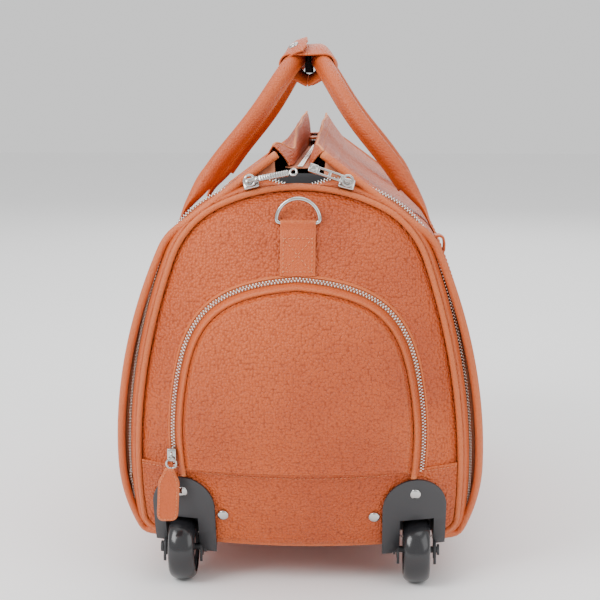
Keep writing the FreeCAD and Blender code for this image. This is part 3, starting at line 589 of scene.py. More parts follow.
def colour_mix(tree: bpy.types.NodeTree, factor: bpy.types.NodeSocket, first: object,
               second: object) -> bpy.types.NodeSocket:
    """A colour mix node fed by sockets or colours.

    Args:
        tree: the node tree.
        factor: 0 gives the first colour and 1 the second.
        first: a socket or a colour.
        second: a socket or a colour.
    Returns:
        The mixed colour's socket.
    """
    first, second = (value if isinstance(value, bpy.types.NodeSocket) else (*value, 1.0)
                     for value in (first, second))
    return add_node(tree, "ShaderNodeMix", {"Factor": factor, 6: first, 7: second},
                    data_type="RGBA").outputs[2]


def object_place(tree: bpy.types.NodeTree) -> bpy.types.NodeSocket:
    """Object coordinates."""
    return add_node(tree, "ShaderNodeTexCoord").outputs["Object"]


def new_group(name: str, inputs: dict[str, float],
              outputs: Sequence[str]) -> tuple[bpy.types.NodeTree, bpy.types.Node, bpy.types.Node]:
    """An empty shader node group with float sockets.

    Args:
        name: the group's name.
        inputs: default of each input.
        outputs: name of each output.
    Returns:
        (group, its input node, its output node).
    """
    group = bpy.data.node_groups.new(name, "ShaderNodeTree")
    for label, default in inputs.items():
        socket = group.interface.new_socket(name=label, in_out="INPUT",
                                            socket_type="NodeSocketFloat")
        socket.default_value = default
    for label in outputs:
        group.interface.new_socket(name=label, in_out="OUTPUT", socket_type="NodeSocketFloat")
    return group, group.nodes.new("NodeGroupInput"), group.nodes.new("NodeGroupOutput")


def pebble_group() -> bpy.types.NodeTree:
    """Pebbled leather grain: its height and a mask of its creases.

    Returns:
        The finished group.
    """
    tree, given, made = new_group("pebble_grain", {"Cell": 420.0, "Warp": 0.0012},
                                  ("Height", "Crease"))
    place = object_place(tree)
    bend = noise(tree, place, 160.0)
    centred = add_node(tree, "ShaderNodeVectorMath",
                       {0: bend.outputs["Color"], 1: (0.5, 0.5, 0.5)}, operation="SUBTRACT")
    pushed = add_node(tree, "ShaderNodeVectorMath",
                      {0: centred.outputs[0], "Scale": given.outputs["Warp"]}, operation="SCALE")
    moved = add_node(tree, "ShaderNodeVectorMath",
                     {0: place, 1: pushed.outputs[0]}, operation="ADD")
    cells = add_node(tree, "ShaderNodeTexVoronoi",
                     {"Vector": moved.outputs[0], "Scale": given.outputs["Cell"],
                      "Randomness": 0.85}, feature="F1")
    hollow = math_node(tree, "MULTIPLY", cells.outputs["Distance"], cells.outputs["Distance"])
    feed(tree, made.inputs["Height"], math_node(tree, "SUBTRACT", 1.0, hollow))
    feed(tree, made.inputs["Crease"], math_node(tree, "MINIMUM", hollow, 1.0))
    return tree


def tone_and_highlight_group() -> bpy.types.NodeTree:
    """Slow colour change over a hide, and a mask of its raised, convex places for a painted
    highlight.

    Returns:
        The finished group.
    """
    tree, given, made = new_group("tone_and_highlight", {"Scale": 9.0}, ("Tone", "Rub"))
    broad = noise(tree, object_place(tree), given.outputs["Scale"], 4.0)
    feed(tree, made.inputs["Tone"], spread_out(tree, broad.outputs["Fac"], 0.35, 0.65))
    shape = add_node(tree, "ShaderNodeNewGeometry")
    # painted highlight: convex places, by Pointiness, are marked for a paler colour that stands in
    # for light catching raised edges
    feed(tree, made.inputs["Rub"], spread_out(tree, shape.outputs["Pointiness"], 0.51, 0.58))
    return tree


class Shared:
    """Node groups that several finishes use, each built once."""

    _groups: dict[str, bpy.types.NodeTree] = {}

    @classmethod
    def get(cls, maker: Callable[[], bpy.types.NodeTree]) -> bpy.types.NodeTree:
        """The group that maker builds.

        Args:
            maker: makes the group.
        Returns:
            The group, the same one at every call.
        """
        if maker.__name__ not in cls._groups:
            cls._groups[maker.__name__] = maker()
        return cls._groups[maker.__name__]


def use_group(tree: bpy.types.NodeTree, maker: Callable[[], bpy.types.NodeTree],
              **inputs: float) -> bpy.types.Node:
    """Place a shared group in a material with its own input values."""
    return add_node(tree, "ShaderNodeGroup", node_tree=Shared.get(maker), inputs=inputs)


def start_material(name: str) -> tuple[bpy.types.Material, bpy.types.Node]:
    """A new material and its Principled BSDF.

    Args:
        name: the material's name.
    Returns:
        (material, its Principled BSDF).
    """
    material = bpy.data.materials.new(name)
    material.use_nodes = True
    return material, material.node_tree.nodes["Principled BSDF"]


@dataclass(frozen=True)
class Leather:
    """Tan leather, pebbled or smooth."""

    name: str
    slot: str
    base: tuple[float, float, float]
    deep: tuple[float, float, float]
    # pale: the painted highlight colour, mixed onto raised, convex places
    pale: tuple[float, float, float]
    roughness: float
    grain: float
    cell: float
    coat: float = 0.04

    def build(self) -> bpy.types.Material:
        """Make the material.

        Returns:
            The finished material.
        """
        material, shader = start_material(self.name)
        tree = material.node_tree
        pebble = use_group(tree, pebble_group, Cell=self.cell)
        tone_and_highlight = use_group(tree, tone_and_highlight_group)
        crease = pebble.outputs["Crease"]
        colour = colour_mix(tree, math_node(tree, "MULTIPLY", tone_and_highlight.outputs["Tone"], 0.55),
                            self.base, self.deep)
        colour = colour_mix(tree, math_node(tree, "MULTIPLY", crease, 0.55), colour, self.deep)
        # painted highlight: the pale colour laid on convex places, standing in for light catching
        # raised edges
        colour = colour_mix(tree, math_node(tree, "MULTIPLY", tone_and_highlight.outputs["Rub"], 0.6),
                            colour, self.pale)
        bump = add_node(tree, "ShaderNodeBump", {"Distance": self.grain, "Strength": 1.0,
                                                 "Height": pebble.outputs["Height"]})
        for name, value in {
                "Base Color": colour, "Normal": bump.outputs["Normal"],
                "Roughness": math_node(tree, "ADD", math_node(tree, "MULTIPLY", crease, 0.25),
                                       self.roughness),
                "Specular IOR Level": 0.42, "Coat Weight": self.coat,
                "Coat Roughness": 0.35}.items():
            feed(tree, shader.inputs[name], value)
        return material


@dataclass(frozen=True)
class Plain:
    """A metal, plastic, rubber or cloth finish with fine unevenness."""

    name: str
    slot: str
    base: tuple[float, float, float]
    roughness: float
    metallic: float = 0.0
    grain: float = 0.00005
    scale: float = 900.0
    variation: float = 0.12
    coat: float = 0.0

    def build(self) -> bpy.types.Material:
        """Make the material.

        Returns:
            The finished material.
        """
        material, shader = start_material(self.name)
        tree = material.node_tree
        place = object_place(tree)
        speck = noise(tree, place, self.scale, 3.0)
        cloud = noise(tree, place, 35.0).outputs["Fac"]
        darker = tuple(c * (1 - self.variation) for c in self.base)
        lighter = tuple(min(1.0, c * (1 + self.variation)) for c in self.base)
        bump = add_node(tree, "ShaderNodeBump", {"Distance": self.grain,
                                                 "Height": speck.outputs["Fac"]})
        for name, value in {
                "Base Color": colour_mix(tree, cloud, darker, lighter),
                "Normal": bump.outputs["Normal"], "Metallic": self.metallic,
                "Roughness": math_node(tree, "ADD", math_node(tree, "MULTIPLY", cloud, 0.14),
                                       self.roughness - 0.07),
                "Coat Weight": self.coat, "Coat Roughness": 0.15}.items():
            feed(tree, shader.inputs[name], value)
        return material


# the third colour of each leather is its painted highlight colour, laid on raised places
HIDE = Leather("pebbled_hide", "tan_leather", (0.545, 0.096, 0.014), (0.33, 0.042, 0.006),
               (0.68, 0.20, 0.065), roughness=0.38, grain=0.0017, cell=400.0)
TRIM = Leather("smooth_trim", "smooth_leather", (0.565, 0.104, 0.018), (0.38, 0.056, 0.008),
               (0.71, 0.23, 0.08), roughness=0.40, grain=0.0006, cell=560.0)
RAW_EDGE = Leather("raw_edge", "smooth_leather", (0.66, 0.22, 0.085), (0.50, 0.13, 0.04),
                   (0.72, 0.30, 0.14), roughness=0.6, grain=0.0001, cell=900.0, coat=0.0)
THREAD = Plain("thread", "smooth_leather", (0.60, 0.19, 0.075), 0.5, grain=0.0001, scale=2500.0)
TAPE = Plain("zip_tape", "zip_tape", (0.50, 0.17, 0.08), 0.75, grain=0.0001, scale=1800.0)
TEETH = Plain("zip_teeth", "nickel", (0.78, 0.75, 0.70), 0.24, metallic=1.0)
NICKEL = Plain("nickel", "nickel", (0.52, 0.515, 0.50), 0.13, metallic=1.0, grain=0.00001)
STEEL = Plain("steel", "steel", (0.50, 0.50, 0.51), 0.35, metallic=1.0)
ALUMINIUM = Plain("aluminium", "aluminium_tube", (0.62, 0.62, 0.64), 0.32, metallic=1.0)
PLASTIC = Plain("black_plastic", "black_plastic", (0.030, 0.030, 0.033), 0.50, scale=1400.0,
                grain=0.00008)
TREAD = Plain("wheel_tread", "wheel_rubber", (0.014, 0.014, 0.016), 0.20, coat=0.2)
RIM = Plain("rim_plastic", "rim_plastic", (0.035, 0.036, 0.040), 0.38)
LINING = Plain("lining_cloth", "lining_cloth", (0.012, 0.012, 0.014), 0.8, scale=2200.0,
               grain=0.0002)


class Finishes:
    """Each finish's material, made once."""

    _made: dict[str, bpy.types.Material] = {}

    @classmethod
    def dress(cls, piece: bpy.types.Object, finish: Leather | Plain,
              slot: str | None = None) -> bpy.types.Object:
        """Give a piece a finish.

        Args:
            piece: a mesh object.
            finish: the finish.
            slot: not used.
        Returns:
            The same piece.
        """
        if finish.name not in cls._made:
            cls._made[finish.name] = finish.build()
        piece.data.materials.clear()
        piece.data.materials.append(cls._made[finish.name])
        return piece


@dataclass
class Assembly:
    """A sub-assembly of the bag, and the pieces made for it so far."""

    pieces: list[bpy.types.Object] = field(default_factory=list, init=False)

    def add(self, piece: bpy.types.Object, body: str, finish: Leather | Plain,
            *nodes: str) -> None:
        """Dress a piece, let it ride on a body and hide the nodes that it stands for.

        Args:
            piece: the finished mesh.
            body: the body that it moves with.
            finish: its finish.
            *nodes: the CAD nodes that it replaces.
        """
        Finishes.dress(piece, finish)
        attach(piece, body)
        if nodes:
            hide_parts(*nodes)
        LOG.info("%s: %d faces on %s", piece.name, len(piece.data.polygons), body)
        self.pieces.append(piece)


def carved(piece: bpy.types.Object,
           rooms: Sequence[tuple[Sequence[float], Sequence[float]]]) -> bpy.types.Object:
    """Cut box-shaped rooms out of a piece.

    Args:
        piece: a closed mesh.
        rooms: the low and high corner of each box.
    Returns:
        The same piece.
    """
    for low, high in rooms:
        room = box_piece("room", low, high)
        cut = piece.modifiers.new("room", "BOOLEAN")
        cut.operation = "DIFFERENCE"
        cut.object = room
        apply_all(piece)
        bpy.data.objects.remove(room)
    return piece


def cleared(piece: bpy.types.Object, low_edge: bool = False) -> bpy.types.Object:
    """Cut away the room that the wheel wells take, and if asked the low edge between them.

    Args:
        piece: a closed mesh.
        low_edge: whether the piece also stops above the low band's edge.
    Returns:
        The same piece.
    """
    front, below = -0.33, -0.01
    rooms = [((x - WELL_HALF, front, below), (x + WELL_HALF, WELL_BACK, WELL_TOP))
             for x in (-WHEEL_X, WHEEL_X)]
    if low_edge:
        rooms.append(((-0.1268, front, below), (0.1268, -0.19, 0.0575)))
    return carved(piece, rooms)


def lathe(name: str, profile: Sequence[tuple[float, float]], sides: int = 64,
          closed: bool = False) -> bpy.types.Object:
    """A profile of (radius, height) turned about Z.

    Args:
        name: the piece's name.
        profile: (radius, height) pairs.
        sides: how many steps a turn has.
        closed: whether the profile joins its own start.
    Returns:
        The new piece, about the Z axis at the origin.
    """
    turn = np.linspace(0, 2 * math.pi, sides, endpoint=False)
    rows = [np.column_stack([r * np.cos(turn), r * np.sin(turn), 0 * turn + h])
            for r, h in profile]
    piece = lay_grid(name, np.array(rows), close_cols=True, close_rows=closed, caps=not closed)
    bpy.ops.object.shade_smooth_by_angle(angle=math.radians(40))
    return piece


# ------------------------------------------------------------------ zips
@dataclass
class Chain:
    """The teeth of a metal zip along a path."""

    pitch: float = 2.9 * MM
    tooth_length: float = 2.5 * MM
    tooth_width: float = 1.05 * MM
    tooth_height: float = 1.5 * MM
    spread: float = 1.15 * MM

    def tooth(self) -> bpy.types.Object:
        """One tooth: a small block with bevelled corners.

        Returns:
            The new piece, at the origin.
        """
        bpy.ops.object.select_all(action="DESELECT")
        bpy.ops.mesh.primitive_cube_add(size=1.0)
        piece = bpy.context.object
        piece.scale = (self.tooth_width, self.tooth_length, self.tooth_height)
        bpy.ops.object.transform_apply(location=True, rotation=True, scale=True)
        bevel = piece.modifiers.new("corners", "BEVEL")
        bevel.width = 0.22 * MM
        bevel.segments = 1
        return apply_all(piece)

    def build(self, name: str, path: Points, out: Points) -> bpy.types.Object:
        """Teeth in two interlocked rows.

        Args:
            name: the piece's name.
            path: rows of x, y, z.
            out: the outward direction at each row.
        Returns:
            The new piece.
        """
        total = np.linalg.norm(np.diff(path, axis=0), axis=1).sum()
        count = max(4, int(total / self.pitch))
        data = resample(path, 2 * count, carried=np.column_stack([path, out]))
        along = unit(np.gradient(data[:, :3], axis=0))
        normal = unit(data[:, 3:])
        across = unit(np.cross(normal, along)) * self.spread
        across[1::2] *= -1
        places = [place_at(point, way, up)
                  for point, way, up in zip(data[:, :3] + across, along, normal)]
        return scatter(name, self.tooth(), places)


# ------------------------------------------------------------------ ends and wrap
def dome_rows(outline: Points, centre: Sequence[float], count: int, power: float,
              lift: Callable[[Points, Points], Points]) -> Points:
    """Rings of points that fill an outline on the wheeled end, from a middle outwards.

    Args:
        outline: rows of (x, z), clockwise.
        centre: (x, z) of the rings' middle.
        count: how many rings.
        power: above 1 sets the rings closer together near the outline.
        lift: outward lift from (points in x and z, share of the way to the outline).
    Returns:
        Rings by points by 3.
    """
    middle = np.array(centre)
    rows = []
    for share in 1 - np.linspace(1, 0, count) ** power:
        flat = middle + (outline - middle) * share
        rows.append(FORM.on_end(flat, lift(flat, np.full(len(flat), share))))
    rows[0][:] = rows[0].mean(0)
    return np.array(rows)


@dataclass
class WheeledEnd(Assembly):
    """The domed end over the wheels: panel, piping, low band and zip."""

    around: int = 320
    rings: int = 40
    piping_radius: float = 2.7 * MM
    strip_inner: float = 4.6 * MM
    strip_outer: float = 10.8 * MM
    chain_out: float = 12.6 * MM
    mouth_half: float = 0.0115
    band_top: float = 0.117
    seam_groove: float = 1.6 * MM
    centre: tuple[float, float] = (0.0, 0.195)

    def build_panel(self) -> None:
        """The end panel with its soft swell between the seams."""

        def lift(flat: Points, share: Points) -> Points:
            """Swell near the seam, ripples inside it, and an edge tucked down into it."""
            swell = 1.4 * MM * np.sin(np.pi * np.clip((share - 0.72) / 0.28, 0, 1))
            wave = 0.7 * MM * ripple(at_depth(flat), 0.4, 0.05) * (1 - share ** 6)
            return swell + wave - self.seam_groove * smooth_step(0.965, 1.0, share)

        grid = dome_rows(FORM.panel(self.around), self.centre, self.rings, 1.35, lift)
        panel = face_away(lay_grid("front_end_skin", grid, close_cols=True), end_core)
        thicken(panel, 2.4 * MM)
        self.add(cleared(panel), "bag", HIDE, "front_end_panel")

    def build_piping(self) -> None:
        """Piping round the panel and the folded strip beside it."""
        outline = FORM.panel(self.around)
        line = FORM.on_end(shifted(outline, self.piping_radius * 0.9), 1.4 * MM)
        pipe = tube("front_piping_roll", line, self.piping_radius, closed=True, sides=14)
        self.add(cleared(pipe, True), "bag", TRIM, "front_piping")
        part = self.parting(outline)
        share = np.linspace(0, 1, 9)
        rows = []
        for s in share:
            out = self.strip_inner + (self.strip_outer - self.strip_inner) * s * part
            rise = 1.2 * MM * math.sin(math.pi * min(1.0, s * 1.05)) - 3.4 * MM * s ** 3
            rows.append(FORM.on_end(shifted(outline, out), rise - 0.4 * MM))
        rows.append(FORM.on_end(shifted(outline, self.strip_inner + 0.4 * MM + (
            self.strip_outer - self.strip_inner) * part), -7.0 * MM))
        strip = lay_grid("zip_strip", np.array(rows), close_cols=True)
        thicken(strip, 1.2 * MM)
        self.add(cleared(strip, True), "bag", TRIM)
        x = np.linspace(-0.036, 0.036, 25)
        rows = [FORM.on_end(np.column_stack([x, 0 * x + z - 0.06 * np.square(x) / 0.036]), -9 * MM)
                for z in np.linspace(0.3500, 0.3745, 8)]
        mouth = face_away(lay_grid("mouth_lining", np.array(rows)), end_core)
        thicken(mouth, 1.0 * MM)
        self.add(mouth, "bag", LINING)

    @staticmethod
    def parting(outline: Points) -> Points:
        """How far the zip's edge stands out round the outline: 1, and 0 at the crown."""
        crown = outline[:, 1] > 0.3
        return np.where(crown, smooth_step(0.009, 0.031, np.abs(outline[:, 0])), 1.0)

    def build_zip(self) -> None:
        """Teeth round the end, closed below the sliders and parted at the crown."""
        outline = resample(FORM.panel(self.around * 2), self.around * 2, closed=True)
        sign = np.sign(outline[:, 0])
        reach = np.abs(outline[:, 0]) + 0.25 * (outline[:, 1] < 0.3)
        reach = np.where((outline[:, 1] < 0.075) & (np.abs(outline[:, 0]) < 0.131), 0, reach)
        wave = 0.9 * MM * np.sin(outline[:, 1] * 210) * (outline[:, 1] < 0.1) * (sign < 0)
        part = self.parting(outline)
        out = self.strip_inner + (self.chain_out - self.strip_inner) * part
        line = shifted(outline, out + wave)
        rise = -3.4 * MM - 2.0 * MM * smooth_step(0.33, 0.2, outline[:, 1])
        points = FORM.on_end(line, rise)
        order = [i for i in range(len(points)) if reach[i] > self.mouth_half]
        start = next(i for i, j in enumerate(order) if outline[j, 0] > 0)
        order = order[start:] + order[:start]
        points = points[order]
        tilt = unit(FORM.out(points) + 0.9 * unit(np.column_stack(
            [outline[order, 0], np.zeros(len(order)), outline[order, 1] - self.centre[1]])))
        keep = np.concatenate([[True], np.linalg.norm(np.diff(points, axis=0), axis=1) < 0.02])
        points, tilt = points[keep], tilt[keep]
        teeth = Chain().build("front_zip_teeth", points, tilt)
        self.add(teeth, "bag", TEETH)
        rows = []
        body = shifted(FORM.body(self.around), -4.0 * MM)
        for s in np.linspace(0, 1, 5):
            inner = shifted(FORM.panel(self.around), self.strip_outer + 2.0 * MM)
            flat = inner * (1 - s) + match_angles(body, inner, self.centre) * s
            rows.append(FORM.on_end(flat, -6.5 * MM - 3.0 * MM * s))
        grid = np.array(rows)
        crown = (np.abs(grid[0, :, 0]) < 0.021) & (grid[0, :, 2] > 0.3)
        first = int(np.nonzero(crown & (grid[0, :, 0] > 0))[0].max()) + 1
        grid = np.roll(grid, -first, axis=1)[:, :int((~crown).sum())]
        tape = face_away(lay_grid("zip_tape_band", grid), end_core)
        thicken(tape, 0.9 * MM)
        self.add(cleared(tape, True), "bag", TAPE, "front_zip")

    def build_band(self) -> None:
        """The low band across the end, its top edge turned and stitched."""
        outline = FORM.panel(self.around)
        rows = []
        steps = 22
        for step in range(steps + 1):
            height = self.band_top + (0.0472 - self.band_top) * (step / steps)
            half = half_width(outline, height) - 0.4 * MM
            x = np.linspace(-half, half, 90)
            dip = 6.0 * MM * (1 - np.square(x / half)) * (1 - step / steps)
            flat = np.column_stack([x, height - dip])
            fold = 0.9 * MM * math.exp(-((step / steps) / 0.05) ** 2)
            crease = 0.5 * MM * ripple(np.column_stack([x, x * 0, flat[:, 1]]), 2.0, 0.02)
            rows.append(FORM.on_end(flat, 2.1 * MM + fold + crease * (step > 1)))
        for drop, back in ((3.4, 1.2), (6.4, 3.0), (8.9, 6.0), (10.2, 10.0), (10.4, 20.0)):
            points = rows[steps] - [0, 0, drop * MM]
            points[:, 1] += back * MM
            rows.append(points)
        band = face_away(lay_grid("low_band", np.array(rows)), lambda c: np.column_stack(
            [c[:, 0], np.maximum(c[:, 1], -0.20), np.maximum(c[:, 2], 0.055)]))
        thicken(band, 1.7 * MM, bevel=0.6 * MM)
        self.add(cleared(band), "bag", HIDE, "front_bottom_band")
        half = half_width(outline, self.band_top) - 2 * MM
        x = np.linspace(-half, half, 100)
        flat = np.column_stack([x, self.band_top - 3.0 * MM - 6.0 * MM * (1 - np.square(x / half))])
        line = FORM.on_end(flat, 3.0 * MM)
        row = stitches("band_stitches", line, FORM.out(line))
        self.add(row, "bag", THREAD)

    def build(self) -> None:
        """Make every piece of the wheeled end."""
        self.build_panel()
        self.build_piping()
        self.build_zip()
        self.build_band()


def half_width(outline: Points, height: float) -> float:
    """Half the width of an outline at a height.

    Args:
        outline: rows of (x, z).
        height: where to measure.
    Returns:
        The outline's half width there.
    """
    right = outline[outline[:, 0] > 0]
    order = np.argsort(right[:, 1])
    return float(np.interp(height, right[order, 1], right[order, 0]))


def match_angles(outline: Points, wanted: Points, centre: tuple[float, float]) -> Points:
    """Points of an outline at the same angles round a centre as wanted points.

    Args:
        outline: rows of (x, z).
        wanted: rows of (x, z) whose angles count.
        centre: (x, z) of the middle.
    Returns:
        One row of the outline for each wanted row.
    """
    middle = np.array(centre)
    turn = np.arctan2(outline[:, 0] - middle[0], outline[:, 1] - middle[1])
    order = np.argsort(turn)
    turn, line = turn[order], outline[order]
    turn = np.concatenate([turn - 2 * math.pi, turn, turn + 2 * math.pi])
    line = np.vstack([line, line, line])
    at = np.arctan2(wanted[:, 0] - middle[0], wanted[:, 1] - middle[1])
    return np.column_stack([np.interp(at, turn, line[:, i]) for i in range(2)])


def end_core(points: Points) -> Points:
    """The wheeled end's ball centre, for every point."""
    return np.tile([0.0, FORM.front, FORM.height], (len(points), 1))


def far_core(points: Points) -> Points:
    """The far end's ball centre, for every point."""
    return np.tile([0.0, 2 * FORM.middle - FORM.front, FORM.height], (len(points), 1))


def axis_core(points: Points) -> Points:
    """The nearest point of the bag's long axis."""
    return np.column_stack([0 * points[:, 0], points[:, 1], 0 * points[:, 2] + FORM.height])


@dataclass
class Wrap(Assembly):
    """The leather that goes round the bag from ridge to ridge, with its hems and lining."""

    across: int = 260
    along: int = 84
    thickness: float = 2.2 * MM
    hem_width: float = 9.0 * MM

    def profile(self) -> Points:
        """The wrap's section from the right ridge under the bag to the left ridge.

        Returns:
            Rows of (x, z).
        """
        outline = FORM.body(1200)
        closed_top = (np.abs(outline[:, 0]) < 0.0212) & (outline[:, 1] > 0.38)
        first = int(np.nonzero(~closed_top)[0][0])
        turned = np.roll(outline, -first, axis=0)
        flags = np.roll(closed_top, -first)
        return resample(turned[~flags], self.across)

    def skin(self, inset: float) -> Points:
        """The wrap's surface, or a skin inside it.

        Args:
            inset: how far inside.
        Returns:
            A grid from the wheeled end to the far end.
        """
        flat = shifted(self.profile(), -inset, closed=False)
        near = FORM.on_end(flat)[:, 1]
        rows = []
        for s in np.linspace(0, 1, self.along):
            y = near * (1 - s) + (2 * FORM.middle - near) * s
            rows.append(self.sag(at_depth(flat, y), s))
        return np.array(rows)

    @staticmethod
    def sag(points: Points, s: float) -> Points:
        """Soft unevenness of the wrap: slack roof, full sides, calm bottom and ends.

        Args:
            points: one row of the grid.
            s: share of the way from the wheeled end to the far end.
        Returns:
            The moved row.
        """
        calm = math.sin(math.pi * s) ** 0.5 if 0 < s < 1 else 0.0
        height = points[:, 2]
        loose = smooth_step(0.05, 0.12, height)
        push = (1.4 * MM * ripple(points, 1.1, 0.07) + 0.5 * MM * ripple(points, 4.2, 0.022))
        push = push * calm * loose
        roof = smooth_step(0.325, 0.36, height) * (1 - smooth_step(0.375, 0.392, height))
        push = push - 3.0 * MM * roof * math.sin(math.pi * s)
        out = unit(np.column_stack([points[:, 0], np.zeros(len(points)), height - 0.20]))
        return points + out * push[:, None]

    def build_skin(self) -> None:
        """The wrap itself."""
        grid = self.skin(0.0)
        skin = face_away(lay_grid("wrap_skin", grid), axis_core)
        thicken(skin, self.thickness, bevel=0.7 * MM)
        self.add(cleared(skin), "bag", HIDE, "body_shell")
        lining = face_away(lay_grid("lining_skin", self.skin(4.2 * MM)[2:-2]), axis_core)
        thicken(lining, 0.6 * MM)
        self.add(cleared(lining), "bag", LINING, "lining")

    def build_hems(self) -> None:
        """The turned edge at the wheeled end: two soft ridges with a seam between."""
        flat = self.profile()
        for end in ("front", "rear"):
            rows = []
            for t in np.linspace(0, 1, 13):
                bump = abs(math.sin(2 * math.pi * t)) ** 0.7 * (1.7 * MM if t < 0.5 else 1.0 * MM)
                back = self.hem_width * t
                line = shifted(flat, bump - 0.2 * MM, closed=False)
                points = FORM.on_end(line, 0.3 * MM)
                points[:, 1] += back - 0.6 * MM
                rows.append(points)
            first = FORM.on_end(shifted(flat, -2.4 * MM, closed=False), 0.3 * MM)
            rows.insert(0, first)
            grid = np.array(rows)
            if end == "rear":
                grid = FORM.far(grid)
            hem = face_away(lay_grid(f"{end}_hem", grid), axis_core)
            thicken(hem, 0.9 * MM)
            self.add(cleared(hem), "bag", TRIM)
            line = FORM.on_end(shifted(flat, -2.7 * MM, closed=False), -2.2 * MM)
            if end == "rear":
                line = FORM.far(line)
            out = unit(np.column_stack([line[:, 0], 0 * line[:, 0], line[:, 2] - 0.20]))
            roll = sweep(f"{end}_hem_roll", line, circle(3.4 * MM, 16, 0.95), up=out)
            self.add(cleared(roll), "bag", TRIM)

    def build(self) -> None:
        """Make the wrap, its lining and hems."""
        self.build_skin()
        self.build_hems()


# ------------------------------------------------------------------ pocket
@dataclass
class Pocket(Assembly):
    """The domed pocket on the wheeled end."""

    bulge: float = 11.5 * MM
    gusset: float = 8.5 * MM
    lip: float = 3.0 * MM
    bottom: float = 0.1095
    across: int = 200

    def closed_outline(self, count: int) -> Points:
        """The domed panel's outline, with a straight bottom.

        Args:
            count: how many points to give.
        Returns:
            Rows of (x, z), clockwise from the crown.
        """
        arch = FORM.pocket(400)
        arch = arch[arch[:, 1] >= self.bottom]
        half = len(arch) // 2
        gap = np.linspace(arch[-1], arch[0], 60)[1:-1]
        loop = np.vstack([arch[half:], gap, arch[:half]])
        return resample(loop, count, closed=True)

    def build_face(self) -> None:
        """The padded domed panel, rounded down into the seam of its gusset."""

        def lift(flat: Points, share: Points) -> Points:
            """A crowned face, less full low down, with dents and a tucked edge."""
            low = smooth_step(0.160, 0.118, flat[:, 1]) * 3.5 * MM
            crown = (1 - share ** 5) ** 0.55
            dent = 0.6 * MM * ripple(at_depth(flat), 5.0, 0.045) * (1 - share ** 4)
            rise = self.bulge * 0.72 + (self.bulge * 0.28 - low) * crown + dent
            return rise - 3.4 * MM * smooth_step(0.955, 1.0, share)

        grid = dome_rows(self.closed_outline(240), (0.0, 0.185), 44, 1.6, lift)
        face = face_away(lay_grid("pocket_dome", grid, close_cols=True), end_core)
        thicken(face, 2.0 * MM)
        self.add(face, "bag", HIDE, "pocket_panel")

    def build_gusset(self) -> None:
        """The rolled smooth gusset between the dome and the zip, and the zip's lip."""
        arch = FORM.pocket(self.across)
        for name, profile in (("pocket_gusset", self.gusset_rows()),
                              ("pocket_lip", self.lip_rows())):
            rows = [FORM.on_end(shifted(arch, out, closed=False), rise) for out, rise in profile]
            strip = face_away(lay_grid(name, np.array(rows)), end_core)
            thicken(strip, 1.0 * MM)
            nodes = ("pocket_piping",) if name == "pocket_lip" else ()
            self.add(strip, "bag", TRIM, *nodes)

    def gusset_rows(self) -> list[tuple[float, float]]:
        """(outward, lift) pairs of the gusset's section.

        Returns:
            One pair for each row of the gusset.
        """
        rows = []
        for t in np.linspace(0, 1, 12):
            rise = self.bulge * 0.46 + 2.6 * MM * math.sin(math.pi * min(1, t * 1.1)) ** 0.8
            rows.append((0.1 * MM + (self.gusset - 1.5 * MM) * t, rise - 4.2 * MM * t ** 2.2))
        rows.append((self.gusset - 1.2 * MM, 0.2 * MM))
        return rows

    def lip_rows(self) -> list[tuple[float, float]]:
        """(outward, lift) pairs of the lip outside the zip.

        Returns:
            One pair for each row of the lip.
        """
        start = self.gusset + 2.8 * MM
        rows = [(start, 0.1 * MM)]
        for t in np.linspace(0, 1, 8):
            rows.append((start + self.lip * t, 0.4 * MM + 1.9 * MM * math.sin(math.pi * t) ** 0.7))
        return rows

    def build_zip(self) -> None:
        """Tape and teeth in the valley between gusset and lip."""
        arch = FORM.pocket(self.across)
        rows = [FORM.on_end(shifted(arch, self.gusset + d, closed=False), 0.9 * MM)
                for d in (-1.6 * MM, 0.0, 2.0 * MM, 3.4 * MM)]
        tape = face_away(lay_grid("pocket_tape", np.array(rows)), end_core)
        thicken(tape, 0.7 * MM)
        self.add(tape, "bag", TAPE, "pocket_zip")
        line = FORM.on_end(shifted(arch, self.gusset + 0.9 * MM, closed=False), 2.3 * MM)
        keep = line[:, 2] > self.bottom + 0.5 * MM
        teeth = Chain(tooth_length=1.9 * MM, spread=1.0 * MM).build(
            "pocket_teeth", line[keep], FORM.out(line[keep]))
        self.add(teeth, "bag", TEETH)

    def build(self) -> None:
        """Make the pocket."""
        self.build_face()
        self.build_gusset()
        self.build_zip()


# ------------------------------------------------------------------ hard pieces
def box_piece(name: str, low: Sequence[float], high: Sequence[float]) -> bpy.types.Object:
    """A box between two corners, ready to be shaped.

    Args:
        name: the piece's name.
        low: its low corner.
        high: its high corner.
    Returns:
        The new piece.
    """
    bpy.ops.object.select_all(action="DESELECT")
    middle = [(a + b) / 2 for a, b in zip(low, high)]
    bpy.ops.mesh.primitive_cube_add(size=1, location=middle)
    piece = bpy.context.object
    piece.scale = [b - a for a, b in zip(low, high)]
    bpy.ops.object.transform_apply(location=True, rotation=True, scale=True)
    piece.name = piece.data.name = name
    return piece


def hoop_piece(name: str, major: float, minor: float, centre: Sequence[float],
               turn: Sequence[float] = (0, 0, 0), sides: int = 48) -> bpy.types.Object:
    """A torus whose own axis is Z before it is turned.

    Args:
        name: the piece's name.
        major: radius of the ring.
        minor: radius of its wire.
        centre: where it is.
        turn: its turn about X, Y and Z in radians.
        sides: how many steps the ring has.
    Returns:
        The new piece.
    """
    bpy.ops.object.select_all(action="DESELECT")
    bpy.ops.mesh.primitive_torus_add(major_radius=major, minor_radius=minor, location=centre,
                                     rotation=turn, major_segments=sides, minor_segments=12)
    bpy.ops.object.transform_apply(location=True, rotation=True, scale=True)
    piece = bpy.context.object
    piece.name = piece.data.name = name
    return piece


